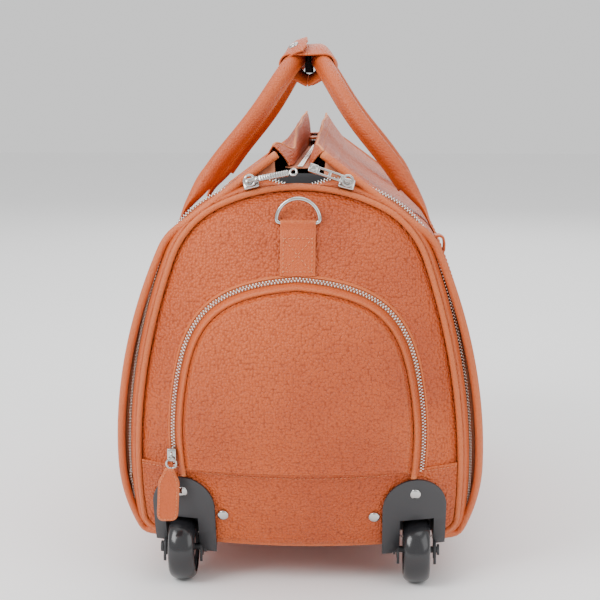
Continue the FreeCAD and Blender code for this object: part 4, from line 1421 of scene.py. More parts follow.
def soften(piece: bpy.types.Object, width: float, segments: int = 3,
           angle: float = 30.0) -> bpy.types.Object:
    """Bevel the sharp edges and shade the rest smooth.

    Args:
        piece: a mesh object.
        width: of the bevel.
        segments: of the bevel.
        angle: edges sharper than this are bevelled, in degrees.
    Returns:
        The same piece.
    """
    bevel = piece.modifiers.new("edges", "BEVEL")
    bevel.width = width
    bevel.segments = segments
    bevel.limit_method = "ANGLE"
    bevel.angle_limit = math.radians(angle)
    apply_all(piece)
    bpy.ops.object.shade_smooth_by_angle(angle=math.radians(35))
    return piece


def joined(name: str, pieces: Sequence[bpy.types.Object]) -> bpy.types.Object:
    """Several pieces made one.

    Args:
        name: the piece's name.
        pieces: the objects to join.
    Returns:
        The first object, which now holds them all.
    """
    bpy.ops.object.select_all(action="DESELECT")
    for piece in pieces:
        piece.select_set(True)
    bpy.context.view_layer.objects.active = pieces[0]
    if len(pieces) > 1:
        bpy.ops.object.join()
    pieces[0].name = pieces[0].data.name = name
    return pieces[0]


def placed(piece: bpy.types.Object, place: Matrix) -> bpy.types.Object:
    """Move a piece's mesh to a place.

    Args:
        piece: a mesh object at the origin.
        place: where its mesh goes.
    Returns:
        The same piece.
    """
    piece.data.transform(place)
    piece.data.update()
    return piece


def select_faces(piece: bpy.types.Object, test: Callable[[Vector, Vector], bool]) -> None:
    """In edit mode, select only the faces whose (centre, normal) pass a test.

    Args:
        piece: the object in edit mode.
        test: says whether a face counts.
    """
    bpy.ops.mesh.select_all(action="DESELECT")
    shape = bmesh.from_edit_mesh(piece.data)
    for face in shape.faces:
        face.select_set(test(face.calc_center_median(), face.normal))
    bmesh.update_edit_mesh(piece.data)


def from_cad(name: str, node: str, bevel: float) -> bpy.types.Object:
    """A copy of a moulded CAD part with its doubles merged and its edges rounded.

    Args:
        name: the piece's name.
        node: the CAD node to copy.
        bevel: width of the rounded edges.
    Returns:
        The new piece.
    """
    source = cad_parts[node]
    piece = source.copy()
    piece.data = source.data.copy()
    bpy.context.scene.collection.objects.link(piece)
    piece.parent = None
    piece.matrix_world = Matrix.Identity(4)
    for key in list(piece.keys()):
        del piece[key]
    piece.name = piece.data.name = name
    activate(piece)
    bpy.ops.object.mode_set(mode="EDIT")
    bpy.ops.mesh.select_all(action="SELECT")
    bpy.ops.mesh.remove_doubles(threshold=1e-6)
    bpy.ops.mesh.dissolve_limited(angle_limit=math.radians(1.0))
    bpy.ops.object.mode_set(mode="OBJECT")
    return soften(piece, bevel, 2, 40)


@dataclass
class Wheels(Assembly):
    """Tyres, the moulded housings that hold them, and the rivets."""

    radius: float = 30 * MM
    width: float = 24 * MM
    hole: float = 23 * MM

    def tyre(self, side: Side) -> bpy.types.Object:
        """A rounded tyre, bored for its rim.

        Args:
            side: which side of the bag.
        Returns:
            The new piece.
        """
        half = self.width / 2
        across = np.sin(np.linspace(-1, 1, 27) * math.pi / 2)
        shoulder = self.hole + 0.8 * MM
        crown = (self.radius - shoulder) * (1 - np.abs(across) ** 2.4) ** (1 / 2.0)
        profile = [(self.hole, -half)] + [
            (shoulder + rise, half * a) for a, rise in zip(across, crown)] + [(self.hole, half)]
        piece = lathe(f"{side.name.lower()}_tyre_skin", profile, 96, closed=True)
        place = Matrix.Translation((side.value * WHEEL_X, WHEEL_Y, WHEEL_Z))
        return placed(piece, place @ Matrix.Rotation(math.pi / 2, 4, "Y"))

    def rivet_head(self, x: float, z: float, lift: float) -> bpy.types.Object:
        """A low domed rivet head, square to the dome.

        Args:
            x: where on the end.
            z: how high.
            lift: how far the leather or plastic under it stands out.
        Returns:
            The new piece.
        """
        profile = [(0, 2.2), (1.6, 2.1), (3.1, 1.75), (4.2, 1.2), (4.9, 0.7), (5.1, 0.2),
                   (5.1, -0.8), (0, -0.8)]
        head = lathe("rivet", [(r * MM, h * MM) for r, h in profile], 40)
        point = FORM.on_end(np.array([[x, z]]), lift)[0]
        return placed(head, place_at(point, (1, 0, 0), FORM.out(point[None, :])[0]))

    def build(self) -> None:
        """Make the tyres, housings and rivets, and dress the rims, bearings and axles."""
        for side in Side:
            name = side.name.lower()
            tyre = self.tyre(side)
            self.add(tyre, f"{name}_wheel", TREAD, f"{name}_tyre")
            housing = from_cad(f"{name}_housing_moulding", f"{name}_wheel_housing", 0.9 * MM)
            for vertex in housing.data.vertices:
                if vertex.co.z < 0.05 and vertex.co.y < -0.2405:
                    vertex.co.z = 0.05 - (0.05 - vertex.co.z) * 1.4
            self.add(housing, "bag", PLASTIC, f"{name}_wheel_housing")
            Finishes.dress(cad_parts[f"{name}_rim"], RIM)
            Finishes.dress(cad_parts[f"{name}_bearings"], STEEL)
        Finishes.dress(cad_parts["axles"], RIM)
        heads = [self.rivet_head(sign * x, z, lift) for sign in (-1, 1)
                 for x, z, lift in ((0.1045, 0.090, 5.6 * MM), (0.068, 0.068, 3.6 * MM))]
        self.add(joined("rivet_heads", heads), "bag", NICKEL, "rivets")


# ------------------------------------------------------------------ handles
@dataclass
class Handles(Assembly):
    """Rolled carry handles, their base patches, and the wrap that snaps round both."""

    rod: float = 8.1 * MM
    foot: tuple[float, float] = (0.106, 0.346)
    top: tuple[float, float] = (0.0102, 0.481)
    half: float = 0.118
    patch_half: float = 19 * MM
    patch_low: float = 0.246

    @property
    def rise(self) -> float:
        """Length of a leaning handle from its foot to its top."""
        return math.hypot(self.foot[0] - self.top[0], self.top[1] - self.foot[1])

    @property
    def lean(self) -> float:
        """How far a handle leans inwards for each metre of its length."""
        return (self.foot[0] - self.top[0]) / self.rise

    def spine(self, side: Side, count: int = 150) -> Points:
        """The rod's middle line.

        Args:
            side: which handle.
            count: how many points to give.
        Returns:
            Rows of x, y, z from the near foot over the top to the far foot.
        """
        rise, lean = self.rise, self.lean
        turn = np.linspace(0, math.pi, 400)
        power = 2 / 2.25
        line = np.column_stack([-self.half * np.sign(np.cos(turn)) * np.abs(np.cos(turn)) ** power,
                                12 * MM + (rise - 12 * MM) * np.sin(turn) ** power])
        line = resample(line, count)
        droop = 2.5 * MM * np.sin(np.pi * np.clip((line[:, 1] - 0.03) / (rise - 0.03), 0, 1)) ** 2
        x = self.foot[0] - line[:, 1] * lean - 0.8 * droop
        z = self.foot[1] + line[:, 1] * math.sqrt(1 - lean ** 2) - droop
        return np.column_stack([side.value * x, line[:, 0], z])

    def inner(self, side: Side) -> Points:
        """The direction that a handle's sewn flange faces."""
        return np.array([-side.value * math.sqrt(1 - self.lean ** 2), 0, -self.lean])

    def build_rod(self, side: Side) -> None:
        """One rolled handle with its stitched flange.

        Args:
            side: which handle.
        """
        name = side.name.lower()
        path = self.spine(side)
        inner = self.inner(side)
        turn = np.linspace(0, 2 * math.pi, 40, endpoint=False)
        fin = 2.6 * MM * np.exp(-((turn - 1.5 * math.pi) / 0.17) ** 2)
        ring = np.column_stack([(self.rod + fin) * np.cos(turn), (self.rod + fin) * np.sin(turn)])
        up = np.tile(-inner, (len(path), 1))
        rod = sweep(f"{name}_handle_roll", path, ring, up=up)
        self.add(rod, f"{name}_carry", TRIM, f"{name}_handle")
        across = path_frames(path, False, up)[0]
        for index, offset in enumerate((-1, 1)):
            line = path + inner * (self.rod + 0.9 * MM) + across * offset * 1.0 * MM
            row = stitches(f"{name}_handle_stitches_{index}", line[6:-6],
                           np.repeat(offset, len(line) - 12)[:, None] * across[6:-6])
            self.add(row, f"{name}_carry", THREAD)

    def build_patch(self, side: Side, end: int) -> None:
        """The base of a handle leg: rolled above, then flat down the side of the bag.

        Args:
            side: which handle.
            end: -1 for the leg near the wheels, 1 for the far one.
        """
        body = FORM.body(1600)
        right = body[(body[:, 0] > 0.118) & (body[:, 1] > self.patch_low)]
        right = right[np.argsort(-right[:, 1])]
        skin = right[right[:, 1] < 0.317]
        legs = [[self.foot[0] - v * self.lean, self.foot[1] + v * math.sqrt(1 - self.lean ** 2)]
                for v in (34 * MM, 24 * MM, 14 * MM, 4 * MM)]
        flat = resample(np.vstack([legs, [[0.1130, 0.3355]], skin]), 200)
        flat = resample(eased(flat, 60), 44)
        share = np.linspace(0, 1, 44)
        wide = self.rod + 0.3 * MM + (self.patch_half - self.rod) * smooth_step(0.06, 0.50, share)
        wide = wide - 1.2 * MM * (1 - smooth_step(0.0, 0.09, share))
        close = np.sqrt(np.clip((1.0 - share) / 0.10, 0.0, 1.0))
        wide = wide * np.where(share > 0.90, np.maximum(close, 0.05), 1.0)
        deep = (self.rod - 1.2 * MM) * (1 - smooth_step(0.10, 0.46, share)) + 1.5 * MM
        deep = deep - 1.2 * MM * (1 - smooth_step(0.0, 0.09, share))
        lift = 1.6 * MM * smooth_step(0.2, 0.5, share)
        path = at_depth(flat * [side.value, 1], end * self.half)
        tangent = unit(np.gradient(flat, axis=0))
        normal = np.column_stack([side.value * -tangent[:, 1], 0 * share, tangent[:, 0]])
        path = path + normal * lift[:, None]

        def profile(index: int) -> Points:
            """The patch's section at a row."""
            turn = np.linspace(0, 2 * math.pi, 32, endpoint=False)
            power = 1 - 0.55 * smooth_step(0.1, 0.45, share[index])
            side_way = np.sign(np.cos(turn)) * np.abs(np.cos(turn)) ** power
            up_way = np.sign(np.sin(turn)) * np.abs(np.sin(turn)) ** (2 - power)
            return np.column_stack([wide[index] * side_way, deep[index] * up_way])

        name = f"{side.name.lower()}_{'near' if end < 0 else 'far'}_base"
        patch = sweep(name, path, profile, up=normal)
        Finishes.dress(patch, TRIM)
        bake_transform(patch)
        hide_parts("handle_patches")
        self.pieces.append(patch)
        for index, across in enumerate((-1, 1)):
            keep = slice(20, 42)
            reach = np.maximum(wide[keep] - 3.2 * MM, 0)[:, None] * [[0, across, 0]]
            line = path[keep] + reach + normal[keep] * deep[keep][:, None]
            row = stitches(f"{name}_stitches_{index}", line, normal[keep])
            self.add(row, "bag", THREAD)

    def section(self, side: Side, centre: Points) -> Points:
        """The wrap's section round one rod.

        Args:
            side: which handle.
            centre: (x, z) of the rod.
        Returns:
            Rows of (x, z) from under the bag's middle, outside the rod, to over it.
        """
        reach = self.rod + 1.5 * MM
        turn = np.radians(np.linspace(232, 96, 30))
        ring = np.column_stack([-abs(centre[0]) + reach * np.cos(turn),
                                centre[1] + reach * np.sin(turn)])
        low, high = centre[1] - 20 * MM, centre[1] + reach - 0.6 * MM
        line = np.vstack([[[-0.0001, low], [-0.0035, low + 1.2 * MM]], ring,
                          [[-0.0001, high]]])
        return eased(resample(line, 44), 2) * [-side.value, 1]

    def build_wrap(self) -> None:
        """Two sleeves of the wrap, the flap that lies over them, and its snap."""
        for side in Side:
            spine = self.spine(side, 400)
            spine = spine[np.abs(spine[:, 1]) < 0.056]
            spine = resample(spine, 22)
            rows = [np.insert(self.section(side, p[[0, 2]]), 1, p[1], axis=1) for p in spine]
            name = side.name.lower()
            sleeve = lay_grid(f"{name}_sleeve", np.array(rows))
            face_away(sleeve, lambda c, x=spine[11, 0]: np.column_stack(
                [0 * c[:, 0] + x * 0.6, c[:, 1], np.clip(c[:, 2], 0.465, 0.478)]))
            thicken(sleeve, -1.8 * MM, bevel=0.5 * MM)
            self.add(sleeve, f"{name}_carry", TRIM, f"{name}_wrap")
        core = joined("wrap_core", [
            box_piece("core_low", (-0.0035, -0.026, 0.4625), (0.0035, 0.026, 0.4735)),
            box_piece("core_high", (-0.0012, -0.026, 0.4725), (0.0012, 0.026, 0.4875))])
        self.add(soften(core, 0.5 * MM), "left_carry", LINING)
        near = [(-22.6, 459), (-22.3, 468), (-18, 476.8), (-10.5, 481.3), (-4, 483.2), (2.7, 486)]
        high = [(-23.4, 474), (-22.4, 482.5), (-18.6, 489.4), (-12.5, 493.6), (-7, 495.6),
                (-1.5, 497.3)]
        back = [(-23.2, 470), (-22.2, 479), (-18.4, 486.6), (-12, 491.0), (-6.5, 493), (-3, 494.4)]
        lines = [resample(np.array(line) * MM, 24) for line in (near, high, back)]
        rows = []
        for v in np.linspace(0, 1, 23):
            ease = [max(0.0, 1 - v / 0.55) ** 1.5, 0.0, max(0.0, (v - 0.55) / 0.45) ** 1.5]
            ease[1] = 1 - ease[0] - ease[2]
            line = sum(e * part for e, part in zip(ease, lines))
            trim = 1 - 0.16 * abs(2 * v - 1) ** 3
            line = resample(line[:max(4, round(24 * trim))], 24)
            rows.append(np.column_stack([line[:, 0], np.full(24, -0.057 + 0.085 * v), line[:, 1]]))
        grid = np.array(rows)
        flap = lay_grid("wrap_flap_leaf", grid)
        face_away(flap, lambda c: np.tile([-0.006, 0.0, 0.455], (len(c), 1)))
        thicken(flap, -1.9 * MM, bevel=0.5 * MM)
        self.add(flap, "flap", TRIM, "wrap_flap")
        across = grid[6, 16] - grid[6, 13]
        out = unit(np.cross(across, grid[8, 14] - grid[4, 14]))
        out = out if out[2] > 0 else -out
        snap = lathe("snap_cap", [(r * MM, h * MM) for r, h in (
            (0, 1.3), (2.6, 1.3), (3.0, 1.7), (4.2, 1.7), (5.0, 1.2), (5.3, 0.4), (5.3, -0.5),
            (0, -0.5))], 40)
        placed(snap, place_at(grid[6, 14] + out * 2.0 * MM, across, out))
        self.add(snap, "flap", NICKEL, "flap_snap")

    def build(self) -> None:
        """Make both handles, their bases and the wrap."""
        for side in Side:
            self.build_rod(side)
            for end in (-1, 1):
                self.build_patch(side, end)
        self.build_wrap()


# ------------------------------------------------------------------ top of the bag
@dataclass
class TopOpening(Assembly):
    """The standing leather edges along the roof and the zip between them."""

    near: float = -0.216
    far: float = 0.231
    rows: int = 90

    def ridge(self, side: Side, y: Points) -> Points:
        """The standing edge's top.

        Args:
            side: which edge.
            y: where along the bag.
        Returns:
            Rows of x, y, z.
        """
        at = [-216, -207, -196, -184, -168, -145, -100, 0, 120, 231]
        if side is Side.LEFT:
            x = [-24.5, -24.0, -20.5, -14.0, -9.0, -8.5, -10.5, -12.0, -12.4, -12.0]
            z = [397.5, 400.5, 399.5, 394.5, 391.0, 392.5, 398.0, 405.5, 411.0, 416.0]
        else:
            x = [20.5, 17.5, 15.0, 14.5, 13.0, 12.5, 12.8, 12.5, 12.0, 12.6]
            z = [392.5, 396.5, 397.5, 396.0, 395.5, 396.5, 399.0, 404.5, 409.5, 414.0]
        fine = np.linspace(at[0], at[-1], 300)
        both = eased(np.column_stack([np.interp(fine, at, x), np.interp(fine, at, z)]), 60)
        wave = 0.7 * np.sin(y * 41 + side.value) * smooth_step(-0.15, -0.05, y)
        return np.column_stack([np.interp(y * 1000, fine, both[:, 0]) + wave, y * 1000,
                                np.interp(y * 1000, fine, both[:, 1])]) * MM

    def build_placket(self, side: Side) -> None:
        """One standing edge: up the roof to a raw edge, then down to the zip.

        Args:
            side: which edge.
        """
        name = side.name.lower()
        y = np.linspace(self.near, self.far, self.rows)
        ridge = self.ridge(side, y)
        rows = []
        for i, top in enumerate(ridge):
            end = smooth_step(-0.216, -0.190, y[i])
            foot = np.array([side.value * 0.0335, y[i], 0.3837 - 0.0015 * math.sin(
                math.pi * i / (self.rows - 1))])
            valley = np.array([side.value * (0.0105 - 0.0025 * end), y[i], 0.3796])
            t = np.linspace(0, 1, 15)[:, None]
            rise = foot + (top - foot) * t
            rise[:, 2] -= 1.3 * MM * np.sin(np.pi * t[:, 0])
            fall = top + (valley - top) * t[1:]
            fall[:, 0] -= side.value * 1.6 * MM * np.sin(np.pi * t[1:, 0])
            rows.append(eased(np.vstack([rise, fall]), 1, weight=4.0))
        grid = np.array(rows)
        sheet = lay_grid(f"{name}_placket_leather", grid)
        face_away(sheet, lambda c: np.column_stack(
            [0.0165 * np.sign(c[:, 0]), c[:, 1], 0 * c[:, 2] + 0.384]))
        thicken(sheet, -1.2 * MM, bevel=0.4 * MM)
        self.add(sheet, "bag", HIDE, f"{name}_placket")
        edge = ridge + [0, 0, 0.7 * MM]
        raw = sweep(f"{name}_raw_edge", edge, circle(1.25 * MM, 10, 0.8),
                    up=np.tile([0, 0, 1.0], (len(edge), 1)))
        self.add(raw, "bag", RAW_EDGE)
        out = unit(np.array([side.value * 0.75, 0, 0.66]))
        line = grid[3:-3, 11] + out * 1.3 * MM
        row = stitches(f"{name}_placket_stitches", line, np.tile(out, (len(line), 1)))
        self.add(row, "bag", THREAD)

    def build_zip(self) -> None:
        """The top zip's tape and teeth, closed, with its slider at the far end."""
        y = np.linspace(self.near, self.far - 0.006, 60)
        x = np.linspace(-0.0137, 0.0137, 9)
        rows = [np.column_stack([x, np.full(9, at), 0.3782 + 0.9 * MM * (x / 0.0137) ** 2])
                for at in y]
        tape = lay_grid("top_zip_tape", np.array(rows))
        face_away(tape, lambda c: c - [0, 0, 0.05])
        thicken(tape, 0.9 * MM)
        self.add(tape, "bag", TAPE, "top_zip")
        line = np.column_stack([0 * y, y, 0 * y + 0.3795])[:-3]
        teeth = Chain().build("top_zip_teeth", line, np.tile([0, 0, 1.0], (len(line), 1)))
        self.add(teeth, "bag", TEETH)
        low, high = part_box("top_slider")
        body = soften(box_piece("top_slider_body", low, (high[0], high[1], high[2] - 1.6 * MM)),
                      1.4 * MM)
        bail = hoop_piece("top_bail", 2.6 * MM, 0.7 * MM,
                          (0, (low[1] + high[1]) / 2, high[2] - 1.8 * MM), (0, math.pi / 2, 0))
        slider = joined("top_slider_made", [body, bail])
        self.add(slider, "top_slide", NICKEL, "top_slider")
        low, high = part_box("top_puller")
        strap = soften(box_piece("top_strap", (low[0], low[1], low[2]),
                                 (high[0], high[1] - 7 * MM, high[2])), 1.0 * MM)
        link = hoop_piece("top_link", 3.2 * MM, 0.8 * MM,
                          (0, high[1] - 4.6 * MM, (low[2] + high[2]) / 2))
        self.add(strap, "top_pull", TRIM, "top_puller")
        self.add(link, "top_pull", NICKEL)

    def build_side_zip(self) -> None:
        """The zip of the left roof pocket, and the leather loop on the right."""
        body = FORM.body(1600)
        left = body[(body[:, 0] < 0) & (body[:, 1] > 0.30)]
        left = left[np.argsort(left[:, 1])]
        at = left[(left[:, 1] > 0.3325) & (left[:, 1] < 0.3495)]
        at = resample(at, 7)
        normal = unit(np.column_stack([-(at[-1, 1] - at[0, 1]) + 0 * at[:, 0],
                                       at[-1, 0] - at[0, 0] + 0 * at[:, 0]]))
        y = np.linspace(-0.062, 0.062, 40)
        rows = [at_depth(at + normal * 0.9 * MM, v) for v in y]
        tape = face_away(lay_grid("side_zip_tape", np.array(rows)), axis_core)
        thicken(tape, 0.8 * MM)
        self.add(tape, "bag", TAPE, "side_pocket_zip")
        middle = at[3] + normal[3] * 1.6 * MM
        line = np.column_stack([0 * y + middle[0], y, 0 * y + middle[1]])
        teeth = Chain(tooth_length=2.6 * MM, tooth_width=1.0 * MM).build(
            "side_zip_teeth", line, np.tile([normal[3, 0], 0, normal[3, 1]], (len(line), 1)))
        self.add(teeth, "bag", TEETH)
        loop = np.array([[0.1212, 0.3160], [0.1262, 0.3162], [0.1294, 0.3142], [0.1303, 0.3090],
                         [0.1302, 0.3035], [0.1284, 0.3006]])
        loop = resample(loop, 24)
        path = at_depth(loop, -0.198)
        strip = np.array([[-8, -1], [8, -1], [8, 1], [-8, 1]]) * MM
        keeper = sweep("side_loop_strap", path, strip)
        self.add(soften(keeper, 0.4 * MM), "bag", TRIM, "side_loop")

    def build(self) -> None:
        """Make both standing edges, the zips and the loop."""
        for side in Side:
            self.build_placket(side)
        self.build_zip()
        self.build_side_zip()


# ------------------------------------------------------------------ hardware on the wheeled end
@dataclass
class Hardware(Assembly):
    """Dee rings in their tabs, and the sliders and pullers of the end zips."""

    bar_z: float = 0.3335
    ring_radius: float = 19 * MM
    wire: float = 1.75 * MM
    tab_half: float = 15.5 * MM
    tab_low: float = 0.2890
    zip_circle: float = 0.1688
    zip_angle: float = 14.2

    @property
    def bar_y(self) -> float:
        """Y of the dee ring's bar at the wheeled end."""
        return float(FORM.depth(np.zeros(1), np.array([0.3325]), 1.8 * MM)[0])

    def build_ring(self, far: bool) -> None:
        """A dee ring with round corners, standing in its tab.

        Args:
            far: whether it is the one at the tow-handle end.
        """
        centre = self.bar_z + 2.2 * MM
        turn = np.radians(np.linspace(-28, 208, 60))
        arc = np.column_stack([self.ring_radius * np.cos(turn),
                               centre + self.ring_radius * np.sin(turn)])
        arc[:, 1] = np.where(arc[:, 1] < centre, centre + (arc[:, 1] - centre) * 0.25, arc[:, 1])
        loop = eased(resample(arc, 110, closed=True), 6, closed=True)
        path = at_depth(loop, self.bar_y)
        if far:
            path = FORM.far(path)
        name = "rear" if far else "front"
        ring = tube(f"{name}_ring_wire", path, self.wire, closed=True, sides=18)
        self.add(ring, f"{name}_ring", NICKEL, f"{name}_dee_ring")

    def build_tab(self, far: bool) -> None:
        """A strap folded round the ring's bar and sewn down in a boxed cross.

        Args:
            far: whether it is the one at the tow-handle end.
        """
        name = "rear" if far else "front"
        z = np.linspace(self.tab_low, self.bar_z - 5 * MM, 26)
        face = FORM.on_end(np.column_stack([0 * z, z]), 3.3 * MM)[:, 1:]
        fold = [[self.bar_y - 3.1 * MM * math.cos(a), self.bar_z + 3.1 * MM * math.sin(a)]
                for a in np.radians(np.linspace(-10, 190, 16))]
        back = FORM.on_end(np.array([[0, self.bar_z - 6 * MM], [0, self.bar_z - 14 * MM]]),
                           1.6 * MM)[:, 1:]
        line = eased(resample(np.vstack([face, fold, back]), 70), 3)
        x = np.linspace(-self.tab_half, self.tab_half, 15)
        rows = []
        for y, at in line:
            curve = np.square(x) / (2 * FORM.ball) * (at < self.bar_z)
            rows.append(np.column_stack([x, y + curve, 0 * x + at]))
        grid = np.array(rows)
        if far:
            grid = FORM.far(grid)
        core = self.bar_y + 1 * MM
        core = 2 * FORM.middle - core if far else core
        strap = lay_grid(f"{name}_tab_strap", grid)
        face_away(strap, lambda c: np.column_stack([c[:, 0], 0 * c[:, 1] + core, np.minimum(
            c[:, 2], self.bar_z)]))
        thicken(strap, 1.3 * MM, bevel=0.4 * MM)
        self.add(strap, "bag", TRIM, f"{name}_strap_tab")
        self.sew_tab(name, far)

    def sew_tab(self, name: str, far: bool) -> None:
        """The stitched box and cross of a tab.

        Args:
            name: front or rear, for the pieces' names.
            far: whether it is the one at the tow-handle end.
        """
        half, low, high = 0.0125, 0.2925, 0.3205
        corners = {"box": [(-half, low), (half, low), (half, high), (-half, high), (-half, low)],
                   "rise": [(-half, low), (half, high)], "fall": [(-half, high), (half, low)]}
        for label, flat in corners.items():
            line = resample(np.array(flat), 80)
            points = FORM.on_end(line, 3.55 * MM)
            out = FORM.out(points)
            if far:
                points = FORM.far(points)
                out = out * [1, -1, 1]
            row = stitches(f"{name}_tab_{label}", points, out, radius=0.5 * MM)
            self.add(row, "bag", THREAD)

    def zip_place(self, sign: int, tilt: float) -> Matrix:
        """X along the crown zip, Z out of the dome, turned by a puller's tilt.

        Args:
            sign: -1 for the left slider and 1 for the right one.
            tilt: in degrees.
        Returns:
            The place.
        """
        turn = math.radians(sign * self.zip_angle)
        depth = math.sqrt(FORM.ball ** 2 - self.zip_circle ** 2)
        out = np.array([self.zip_circle * math.sin(turn), -depth,
                        self.zip_circle * math.cos(turn)])
        along = Vector((math.cos(turn), 0, -math.sin(turn)))
        place = place_at(out + [0, FORM.front, FORM.height], along, out)
        return place @ Matrix.Rotation(math.radians(tilt), 4, "Z")

    def build_slider(self, side: Side) -> None:
        """A slider of the end zip with its arched bail.

        Args:
            side: which slider.
        """
        body = box_piece("body", (-7 * MM, -5 * MM, 1.7 * MM), (7 * MM, 5 * MM, 6.2 * MM))
        activate(body)
        bpy.ops.object.mode_set(mode="EDIT")
        select_faces(body, lambda centre, normal: normal.x * side.value > 0.9)
        bpy.ops.transform.resize(value=(1, 0.55, 1))
        bpy.ops.object.mode_set(mode="OBJECT")
        soften(body, 1.3 * MM)
        bail = hoop_piece("bail", 3.4 * MM, 0.95 * MM, (0, 0, 6.4 * MM), (math.pi / 2, 0, 0))
        slider = joined(f"{side.name.lower()}_slider_made", [body, bail])
        placed(slider, self.zip_place(side.value, 0))
        name = side.name.lower()
        self.add(slider, f"{name}_slide", NICKEL, f"front_{name}_slider")

    def build_puller(self, side: Side) -> None:
        """The left puller is a ribbed bar, the right one a slotted bar with a square eye.

        Args:
            side: which puller.
        """
        way = -side.value
        parts = [hoop_piece("link", 4.6 * MM, 1.1 * MM, (0, 0, 11.3 * MM), (0.35, 0, 0))]
        if side is Side.LEFT:
            parts.append(soften(box_piece("neck", (4.5 * MM, -1.4 * MM, 10.4 * MM),
                                          (9 * MM, 1.4 * MM, 12.4 * MM)), 0.5 * MM))
            bar = soften(box_piece("bar", (8 * MM, -2.5 * MM, 10.1 * MM),
                                   (35 * MM, 2.5 * MM, 12.7 * MM)), 0.8 * MM)
            parts.append(bar)
            for step in range(12):
                parts.append(hoop_piece("rib", 2.5 * MM, 0.55 * MM, (
                    (10 + 2.1 * step) * MM, 0, 11.4 * MM), (0, math.pi / 2, 0), 16))
            parts.append(hoop_piece("tip", 2.9 * MM, 1.0 * MM, (39 * MM, 0, 11.4 * MM)))
        else:
            for edge in (-1, 1):
                parts.append(soften(box_piece("rail", (-28 * MM, edge * 2.7 * MM - 0.9 * MM,
                                                       10.2 * MM),
                                              (-4 * MM, edge * 2.7 * MM + 0.9 * MM, 12.4 * MM)),
                                    0.5 * MM))
            for at in (-5.5, -16.5, -27.0):
                parts.append(soften(box_piece("bridge", ((at - 1.3) * MM, -3 * MM, 10.3 * MM),
                                              ((at + 1.3) * MM, 3 * MM, 12.2 * MM)), 0.4 * MM))
            eye = soften(box_piece("eye", (-35.5 * MM, -4 * MM, 9.9 * MM),
                                   (-27.5 * MM, 4 * MM, 13.2 * MM)), 0.7 * MM)
            parts.append(eye)
            parts.append(hoop_piece("eyelet", 2.3 * MM, 0.7 * MM, (-31.5 * MM, 0, 13.2 * MM)))
        name = side.name.lower()
        puller = joined(f"{name}_puller_made", parts)
        tilt = -3.7 if way > 0 else -5.3
        placed(puller, self.zip_place(side.value, tilt))
        self.add(puller, f"{name}_pull", NICKEL, f"front_{name}_puller")

    def build_pocket_pull(self) -> None:
        """The pocket's slider, its link and its leather puller."""
        low, high = (Vector(corner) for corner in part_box("pocket_slider"))
        body = soften(box_piece("pocket_slider_body", (low.x + 0.4 * MM, low.y + 1 * MM, low.z),
                                (high.x - 0.4 * MM, high.y + 1.4 * MM, high.z)), 1.2 * MM)
        middle = (low + high) / 2
        bail = hoop_piece("pocket_bail", 3.0 * MM, 0.8 * MM, (middle.x, low.y + 1.2 * MM, middle.z),
                          (0, math.pi / 2, 0))
        slider = joined("pocket_slider_made", [body, bail])
        self.add(slider, "pocket_slide", NICKEL, "pocket_slider")
        low, high = (Vector(corner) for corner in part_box("pocket_puller"))
        deep = (low.y + high.y) / 2
        link = hoop_piece("pocket_link", 4.4 * MM, 0.95 * MM, (middle.x, deep, high.z - 6.2 * MM),
                          (math.pi / 2, 0, 0))
        self.add(link, "pocket_pull", NICKEL)
        shape = np.array([(-4.4, 49.5), (4.4, 49.5), (4.9, 46), (6.9, 42), (9.2, 38), (9.7, 33),
                          (9.4, 6), (8.0, 2.0), (5.0, 0.4), (-5.2, 0), (-8.6, 1.6), (-9.8, 6),
                          (-9.6, 33), (-9.1, 38), (-6.8, 42), (-4.8, 46)]) * MM
        ring = eased(resample(shape, 120, closed=True), 6, closed=True)
        start = np.array([-0.1165, low.z + 2.2 * MM])
        ring = start + np.column_stack([ring[:, 0] + 0.045 * ring[:, 1], ring[:, 1]])
        middle = ring.mean(0)
        rows = []
        for share, lift in ((0.0, 1.5), (0.55, 1.5), (0.88, 1.35), (0.97, 1.0), (1.0, 0.2),
                            (1.0, -0.6), (0.96, -1.2), (0.5, -1.3), (0.0, -1.3)):
            flat = middle + (ring - middle) * share
            rows.append(at_depth(flat, deep - lift * MM))
        blade = lay_grid("pocket_pull_leather", np.array(rows), close_cols=True, caps=True)
        self.add(blade, "pocket_pull", TRIM, "pocket_puller")
        line = shifted(ring, 2.0 * MM)
        inside = np.linalg.norm(line - middle, axis=1) < np.linalg.norm(ring - middle, axis=1)
        line = line if inside.mean() > 0.5 else shifted(ring, -2.0 * MM)
        line = at_depth(line, deep - 1.75 * MM)
        line = np.vstack([line, line[:1]])[line.shape[0] // 12:]
        row = stitches("pocket_pull_stitches", line, np.tile([0, -1.0, 0], (len(line), 1)),
                       pitch=2.8 * MM, length=2.0 * MM)
        self.add(row, "pocket_pull", THREAD)

    def build(self) -> None:
        """Make the rings, tabs, sliders and pullers."""
        for far in (False, True):
            self.build_ring(far)
            self.build_tab(far)
        for side in Side:
            self.build_slider(side)
            self.build_puller(side)
        self.build_pocket_pull()


